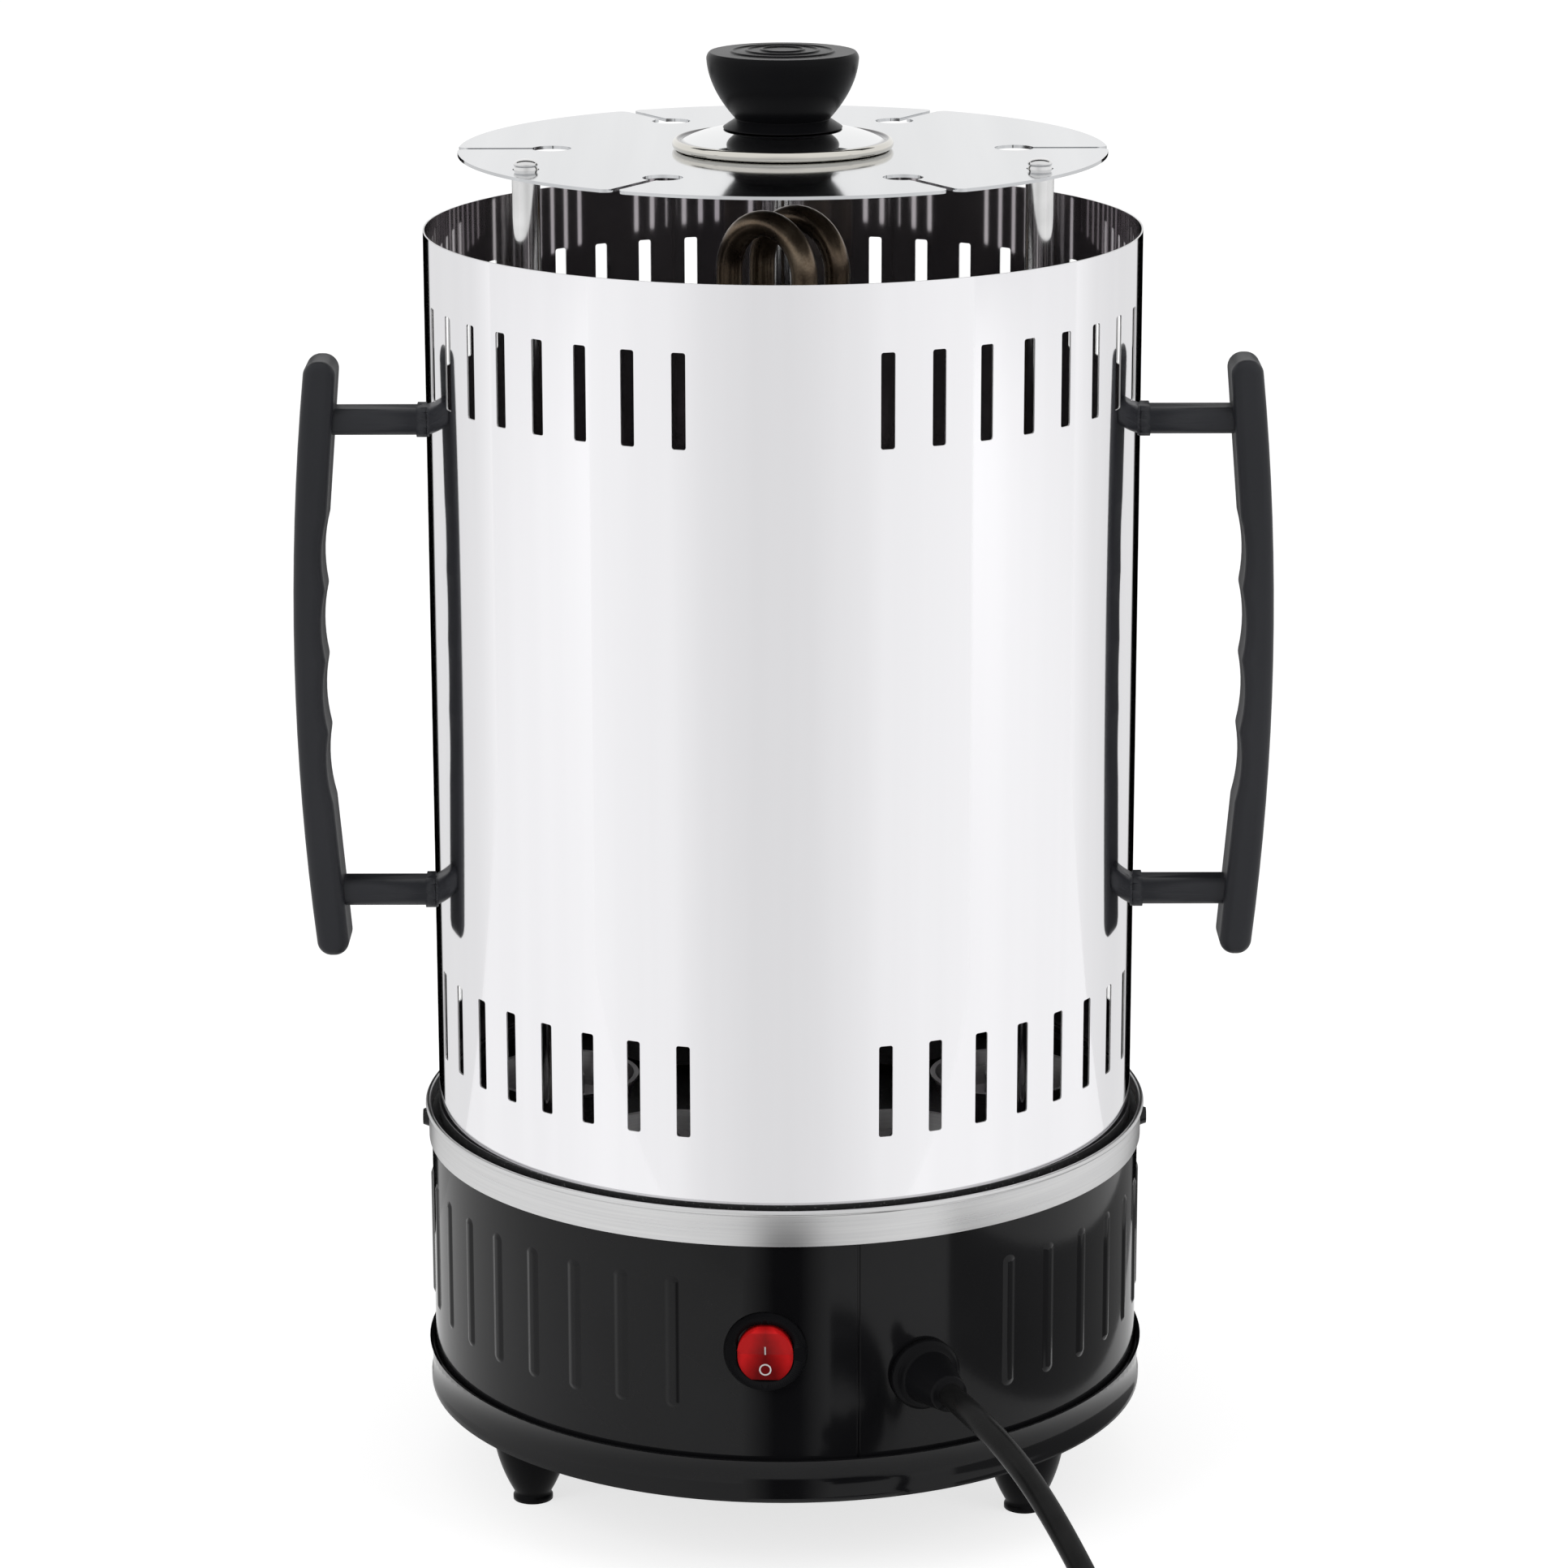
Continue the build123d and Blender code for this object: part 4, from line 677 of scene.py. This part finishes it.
def drum_wall():
    """The enamelled drum: a plain wall with an inner flange, pressed ribs and a butt seam."""
    low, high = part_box("base_drum")
    radius = FACE_R
    inner = radius - SHEET
    core = radius - SEAM_DEPTH
    outline = [
        (radius - FLANGE_W, low.z),
        (core, low.z),
        (core, high.z),
        (inner, high.z),
        (inner, low.z + SHEET),
        (radius - FLANGE_W, low.z + SHEET),
    ]
    bm = turned(outline, DRUM_STEPS)
    seam_gap = math.degrees(SEAM_W / radius)
    start = SEAM_ANGLE + seam_gap / 2
    corners = ((core, low.z), (radius, low.z), (radius, high.z), (core, high.z))
    skin_end = bm.faces.new([bm.verts.new(around(r, start, z)) for r, z in corners])
    bmesh.ops.spin(
        bm,
        geom=[skin_end],
        cent=(0, 0, 0),
        axis=(0, 0, 1),
        angle=math.radians(360 - seam_gap),
        steps=DRUM_STEPS,
        use_duplicate=False,
    )
    tidy(bm)
    left = [BASE_TURN - RIB_FIRST - RIB_PITCH * i for i in range(RIBS_PER_SIDE)]
    right = [BASE_TURN + RIB_FIRST + RIB_PITCH * i for i in range(RIBS_SKIPPED, RIBS_PER_SIDE)]
    for angle in left + right:
        add_rib(bm, facing(radius - RIB_SINK, angle, low.z + RIB_MID))
    return show(bm, "drum_wall", "base_drum", edge=EDGE)


def add_rib(bm, matrix):
    """One pressed rib: a long pad with round ends that swells softly out of the wall."""
    pad = bmesh.ops.create_circle(
        bm,
        cap_ends=True,
        segments=RIB_SEGMENTS,
        radius=RIB_FOOT_W / 2,
        matrix=Matrix.Rotation(math.pi / RIB_SEGMENTS, 4, "Z"),
    )["verts"]
    for side in (-1, 1):
        end = [v for v in pad if v.co.y * side > MERGE]
        bmesh.ops.translate(bm, verts=end, vec=(0, side * (RIB_H - RIB_W) / 2, 0))
    top = pad[0].link_faces[0]
    top.normal_update()
    if top.normal.z < 0:
        top.normal_flip()
    quarter = math.pi / 2
    swell = [RIB_RISE * math.sin(quarter * i / RIB_STEPS) ** 2 for i in range(RIB_STEPS + 1)]
    whole = set(pad)
    for here, above in zip(swell, swell[1:]):
        ring = bmesh.ops.inset_region(
            bm,
            faces=[top],
            thickness=RIB_FLANK * RIB_FOOT_W / RIB_STEPS,
            depth=above - here,
            use_boundary=True,
            use_even_offset=True,
        )
        for face in ring["faces"] + [top]:
            whole |= set(face.verts)
    bmesh.ops.transform(bm, matrix=matrix, verts=list(whole))


def smooth_copy(node, name, sharp=30.0):
    """The CAD shape itself, joined up and shaded smoothly between its real edges."""
    return show(merged(node), name, node, sharp=sharp)


def chrome_post(node, name):
    """A plated post with its stud below and a rounded tip above the disc."""
    low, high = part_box(node)
    shoulder = high.z - POST_TIP_H - DISC_T
    half = POST_TIP_H / 2
    ball = arc((0, 0), POST_TIP_R, *POST_TIP_ARC, 12)
    button = [(r, high.z - half + z * half / POST_TIP_R) for r, z in ball]
    outline = [
        (0, low.z),
        (STUD_R, low.z),
        (STUD_R, low.z + STUD_L),
        (POST_R, low.z + STUD_L),
        (POST_R, shoulder),
        (POST_TIP_R, shoulder),
        (POST_TIP_R, shoulder + DISC_T),
        *button,
        (0, high.z),
    ]
    centre = (low + high) / 2
    bm = turned(outline, 48, matrix=Matrix.Translation((centre.x, centre.y, 0)))
    return show(bm, name, node, edge=EDGE)


def saucer_dome():
    """The saucer: a shallow dome with a groove behind its rolled rim."""
    low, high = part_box("knob_saucer")
    roll_at = (high.x - SAUCER_ROLL_R, low.z + SAUCER_ROLL_R)
    roll = arc(roll_at, SAUCER_ROLL_R, *SAUCER_ROLL_ARC, 28)
    run = roll[0][0] - SAUCER_TOP_R
    fall = high.z - roll[0][1]
    sweep = (run**2 + fall**2) / (2 * fall)
    turn = math.degrees(math.asin(run / sweep))
    centre = (SAUCER_TOP_R, high.z - sweep)
    dome = arc(centre, sweep, 90, 90 - turn, 16)
    under = arc(centre, sweep - SHEET, 90 - turn, 90, 16)
    outline = [(SAUCER_BORE_R, high.z), *dome, *roll, *under]
    outline += [(SAUCER_HUB_R, high.z - SHEET), (SAUCER_HUB_R, low.z), (SAUCER_BORE_R, low.z)]
    bm = turned(outline, 144)
    return show(bm, "saucer_dome", "knob_saucer", "saucer_steel", sharp=40)


def lift_knob():
    """The knob: a sloped foot and a neck under a swelling grip, with ridges on its crown."""
    low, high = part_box("knob")
    edge_z = high.z - KNOB_EDGE_H
    crown_r = high.x - KNOB_EDGE_H
    run = high.x - KNOB_NECK_R
    rise = edge_z - low.z - KNOB_NECK_H

    def grip(depth):
        return high.x - KNOB_LEAN * depth - (run - KNOB_LEAN * rise) * (depth / rise) ** 2

    def crown(radius):
        return high.z - KNOB_CROWN * (radius / crown_r) ** 2

    outline = [(0, low.z), (KNOB_FOOT_R, low.z), (KNOB_FOOT_R, low.z + KNOB_FOOT_H)]
    depths = [rise * i / KNOB_STEPS for i in range(KNOB_STEPS, -1, -1)]
    outline += [(grip(depth), edge_z - depth) for depth in depths]
    outline += arc((crown_r, edge_z), KNOB_EDGE_H, *KNOB_EDGE_ARC, 5)
    for middle in reversed(KNOB_RIDGES):
        for step, lift in KNOB_RIDGE_FORM:
            radius = middle + step * KNOB_RIDGE_W
            outline.append((radius, crown(radius) + lift * KNOB_RIDGE_H))
    outline.append((0, high.z))
    return show(turned(outline, 128), "lift_knob", "knob", edge=FINE_EDGE)


def rocker_place(up):
    """Where a mark lies on the rocker: on its upper face, or below zero on its lower one."""
    half = math.radians(ROCKER_TILT / 2)
    lean = half + math.copysign(half, up)
    hinge = facing(FACE_R - ROCKER_PIVOT_IN, SWITCH_ANGLE, SWITCH_Z)
    valley = Matrix.Rotation(half, 4, "X") @ Matrix.Translation((0, 0, ROCKER_FACE_OUT))
    foot = Matrix.Translation(hinge @ valley @ Vector((0, 0, 0)))
    upright = facing(0, SWITCH_ANGLE, 0).to_3x3().to_4x4()
    return foot @ upright @ Matrix.Rotation(lean, 4, "X") @ Matrix.Translation((0, up, 0))


def switch_marks():
    """The bar for on and the ring for off, printed on the rocker."""
    bar = bmesh.new()
    size = Matrix.Diagonal((MARK_STROKE, ON_MARK_H, 2 * MARK_T, 1))
    bmesh.ops.create_cube(bar, size=1.0, matrix=rocker_place(ON_MARK_UP) @ size)
    inner = OFF_MARK_R - MARK_STROKE
    band = [(inner, -MARK_T), (OFF_MARK_R, -MARK_T), (OFF_MARK_R, MARK_T), (inner, MARK_T)]
    ring = turned(band, 40, matrix=rocker_place(-OFF_MARK_DOWN))
    for bm, name in ((bar, "on_mark"), (ring, "off_mark")):
        mark = add_mesh(bm, name, finishes["white_print"])
        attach(mark, "rocker_unit")


casing_shell()
rolled_ring()
drum_wall()
for side in ("left", "right", "rear"):
    chrome_post(f"post_{side}", f"{side}_post")
saucer_dome()
lift_knob()
switch_marks()
for node, name in (
    ("bottom_pan", "pan_shell"),
    ("handle_left", "left_handle"),
    ("handle_right", "right_handle"),
    ("switch_housing", "switch_bezel"),
    ("cord_gland", "gland_body"),
    ("foot_left", "left_foot"),
    ("foot_right", "right_foot"),
    ("foot_rear", "rear_foot"),
    ("heater_front", "front_hairpin"),
    ("heater_rear", "rear_hairpin"),
    ("plug_body", "plug_shell"),
    ("plug_pins", "plug_prongs"),
    ("cord_tie", "coil_tie"),
):
    smooth_copy(node, name)
smooth_copy("switch_rocker", "red_rocker", sharp=10.0)


def cord_route():
    """Points along the cord: out of the gland, down to the table, and round the coil."""
    start = around(GLAND_TIP_R, GLAND_ANGLE, GLAND_Z)
    coil_start = Vector((COIL_AT[0] + COIL_R, COIL_AT[1], COIL_Z))
    fall = [
        start,
        start + around(CORD_STRAIGHT, GLAND_ANGLE),
        *[Vector(point) for point in CORD_FALL],
        Vector((*CORD_LANDING, COIL_Z)),
        coil_start + Vector((0, CORD_D, 0)),
    ]
    over = COIL_TURNS_IN + COIL_CROSSING
    turns = over + COIL_TURNS_OUT
    count = round(turns * COIL_POINTS)
    inner = COIL_R - COIL_STEP * COIL_TURNS_IN
    coil = []
    for i in range(count + 1):
        turn = turns * i / count
        climb = turn - COIL_TURNS_IN
        if climb < 0:
            radius = COIL_R - COIL_STEP * turn
        elif climb < COIL_CROSSING:
            radius = inner - COIL_STEP * climb * (1 - climb / COIL_CROSSING)
        else:
            radius = inner + COIL_STEP * (turn - over)
        height = COIL_Z + COIL_STEP * ease(climb / COIL_CROSSING)
        to_plug = ease(1 - (turns - turn) / COIL_CROSSING)
        height += (PLUG_AXIS_Z - COIL_Z - COIL_STEP) * to_plug
        angle = -math.tau * turn
        x = COIL_AT[0] + radius * math.cos(angle)
        y = COIL_AT[1] + radius * math.sin(angle)
        coil.append(Vector((x, y, height)))
    return fall + coil + [coil[-1] + Vector((-CORD_D, 0, 0))]


def ease(t):
    """Rises smoothly from 0 to 1."""
    t = min(max(t, 0.0), 1.0)
    return t * t * (3 - 2 * t)


def mains_lead():
    """The cord and its coil as one curve."""
    route = cord_route()
    curve = bpy.data.curves.new("mains_lead", "CURVE")
    curve.dimensions = "3D"
    curve.bevel_depth = CORD_D / 2
    curve.bevel_resolution = 6
    curve.use_fill_caps = True
    spline = curve.splines.new("NURBS")
    spline.points.add(len(route) - 1)
    for point, place in zip(spline.points, route):
        point.co = (*place, 1.0)
    spline.order_u = 3
    spline.use_endpoint_u = True
    spline.resolution_u = 6
    curve.materials.append(finishes["cord_rubber"].material)
    lead = add("mains_lead", curve)
    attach(lead, "base")
    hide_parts("power_cord", "cord_coil")
    length = sum((b - a).length for a, b in zip(route, route[1:]))
    return lead


mains_lead()

# CAD nodes that stay as they are get their finish
shown_finish = {
    "drip_tray": "tray_enamel",
    "skewer_disc": "disc_steel",
    "base_screws": "black_enamel",
}
for node, obj in frame["nodes"].items():
    finish = finishes[shown_finish.get(node, slot_of[node])]
    if not obj.data.materials:
        obj.data.materials.append(finish.material)
    for material_slot in obj.material_slots:
        material_slot.link = "OBJECT"
        material_slot.material = finish.material

# Camera
camera = add("camera", bpy.data.cameras.new("camera"))
camera.data.lens = CAMERA_LENS
camera.data.sensor_width = SENSOR
camera.matrix_world = (
    Matrix.Translation(CAMERA_AT)
    @ Matrix.Rotation(math.radians(90 - CAMERA_PITCH), 4, "X")
    @ Matrix.Rotation(math.radians(CAMERA_ROLL), 4, "Z")
)
bpy.context.scene.camera = camera
bpy.context.scene.view_settings.view_transform = "Standard"

# World: white to the camera and in reflections, a plain soft grey as light
world = bpy.data.worlds.new("studio")
bpy.context.scene.world = world
sky = Graph(world, "Background")
white_rays = sky.ray("Camera") | sky.ray("Glossy") | sky.ray("Transmission")
sky.set("Color", (1, 1, 1, 1))
sky.set("Strength", WORLD_LIGHT + (1 - WORLD_LIGHT) * white_rays)

# Floor: white where the camera or a reflection sees it, and shaded by the part
floor_finish = Finish(
    "floor",
    Base_Color=(0.5, 0.5, 0.5, 1),
    Roughness=0.9,
    Emission_Color=(1, 1, 1, 1),
)
floor_finish.set(
    "Emission Strength",
    FLOOR_GLOW * floor_finish.ray("Camera") + FLOOR_GLOW_IN_GLOSS * floor_finish.ray("Glossy"),
)
floor_bm = bmesh.new()
bmesh.ops.create_grid(floor_bm, x_segments=1, y_segments=1, size=FLOOR_SIZE)
add_mesh(floor_bm, "floor", floor_finish)


def softbox(name, place, target, size, power):
    """An area lamp aimed at a point."""
    lamp = bpy.data.lights.new(name, "AREA")
    lamp.shape = "RECTANGLE"
    lamp.size, lamp.size_y = size
    lamp.energy = power
    box = add(name, lamp)
    aim = (Vector(target) - Vector(place)).to_track_quat("-Z", "Y")
    box.matrix_world = Matrix.Translation(place) @ aim.to_matrix().to_4x4()
    box.visible_glossy = False


softbox("left_softbox", (-1.6, -1.4, 1.5), (0, 0, 0.25), (1.0, 1.4), 14)
softbox("right_softbox", (1.7, -1.1, 1.2), (0, 0, 0.25), (0.9, 1.4), 10)


def flag(name, centre, size, shades, tilt=90, turn=0):
    """A studio panel seen only in reflections; its shades run from its middle to its sides."""
    finish = Finish(name, Base_Color=(0, 0, 0, 1), Specular_IOR_Level=0.0, Emission_Strength=1.0)
    greys = [(place, (shade,) * 3) for place, shade in shades]
    finish.set("Emission Color", finish.ramp(finish.aside(centre, size[0] / 2), greys))
    aim = Matrix.Rotation(math.radians(turn), 4, "Z") @ Matrix.Rotation(math.radians(tilt), 4, "X")
    stand = Matrix.Translation(centre) @ aim @ Matrix.Diagonal((*size, 1, 1))
    bm = bmesh.new()
    bmesh.ops.create_grid(bm, x_segments=1, y_segments=1, size=0.5, matrix=stand)
    panel = add_mesh(bm, name, finish)
    panel.visible_camera = False
    panel.visible_diffuse = False
    panel.visible_shadow = False


flag(
    "back_flag",
    (0, 0.2, 0.2),
    (2.0, 0.4),
    ((0.07, 0.82), (0.10, 0.0), (0.206, 0.0), (0.212, 0.80), (0.6, 0.86), (1.0, 1.0)),
)
flag(
    "front_flag",
    (-0.02, -0.37, 0.31),
    (1.2, 0.62),
    ((0.05, 0.79), (0.2, 0.86), (0.35, 0.94), (1.0, 1.0)),
)
flag("low_flag", (0.0015, -0.20, 0.0445), (0.07, 0.089), ((0.3, 0.0), (1.0, 0.89)))
flag("right_low_flag", (0.2, 0.02, 0.0275), (0.46, 0.055), ((0.0, 0.27), (1.0, 0.27)), turn=90)
flag("ceiling_flag", (0, 0.86, 1.5), (2.4, 0.72), ((0.0, 0.04), (1.0, 0.04)), tilt=0)
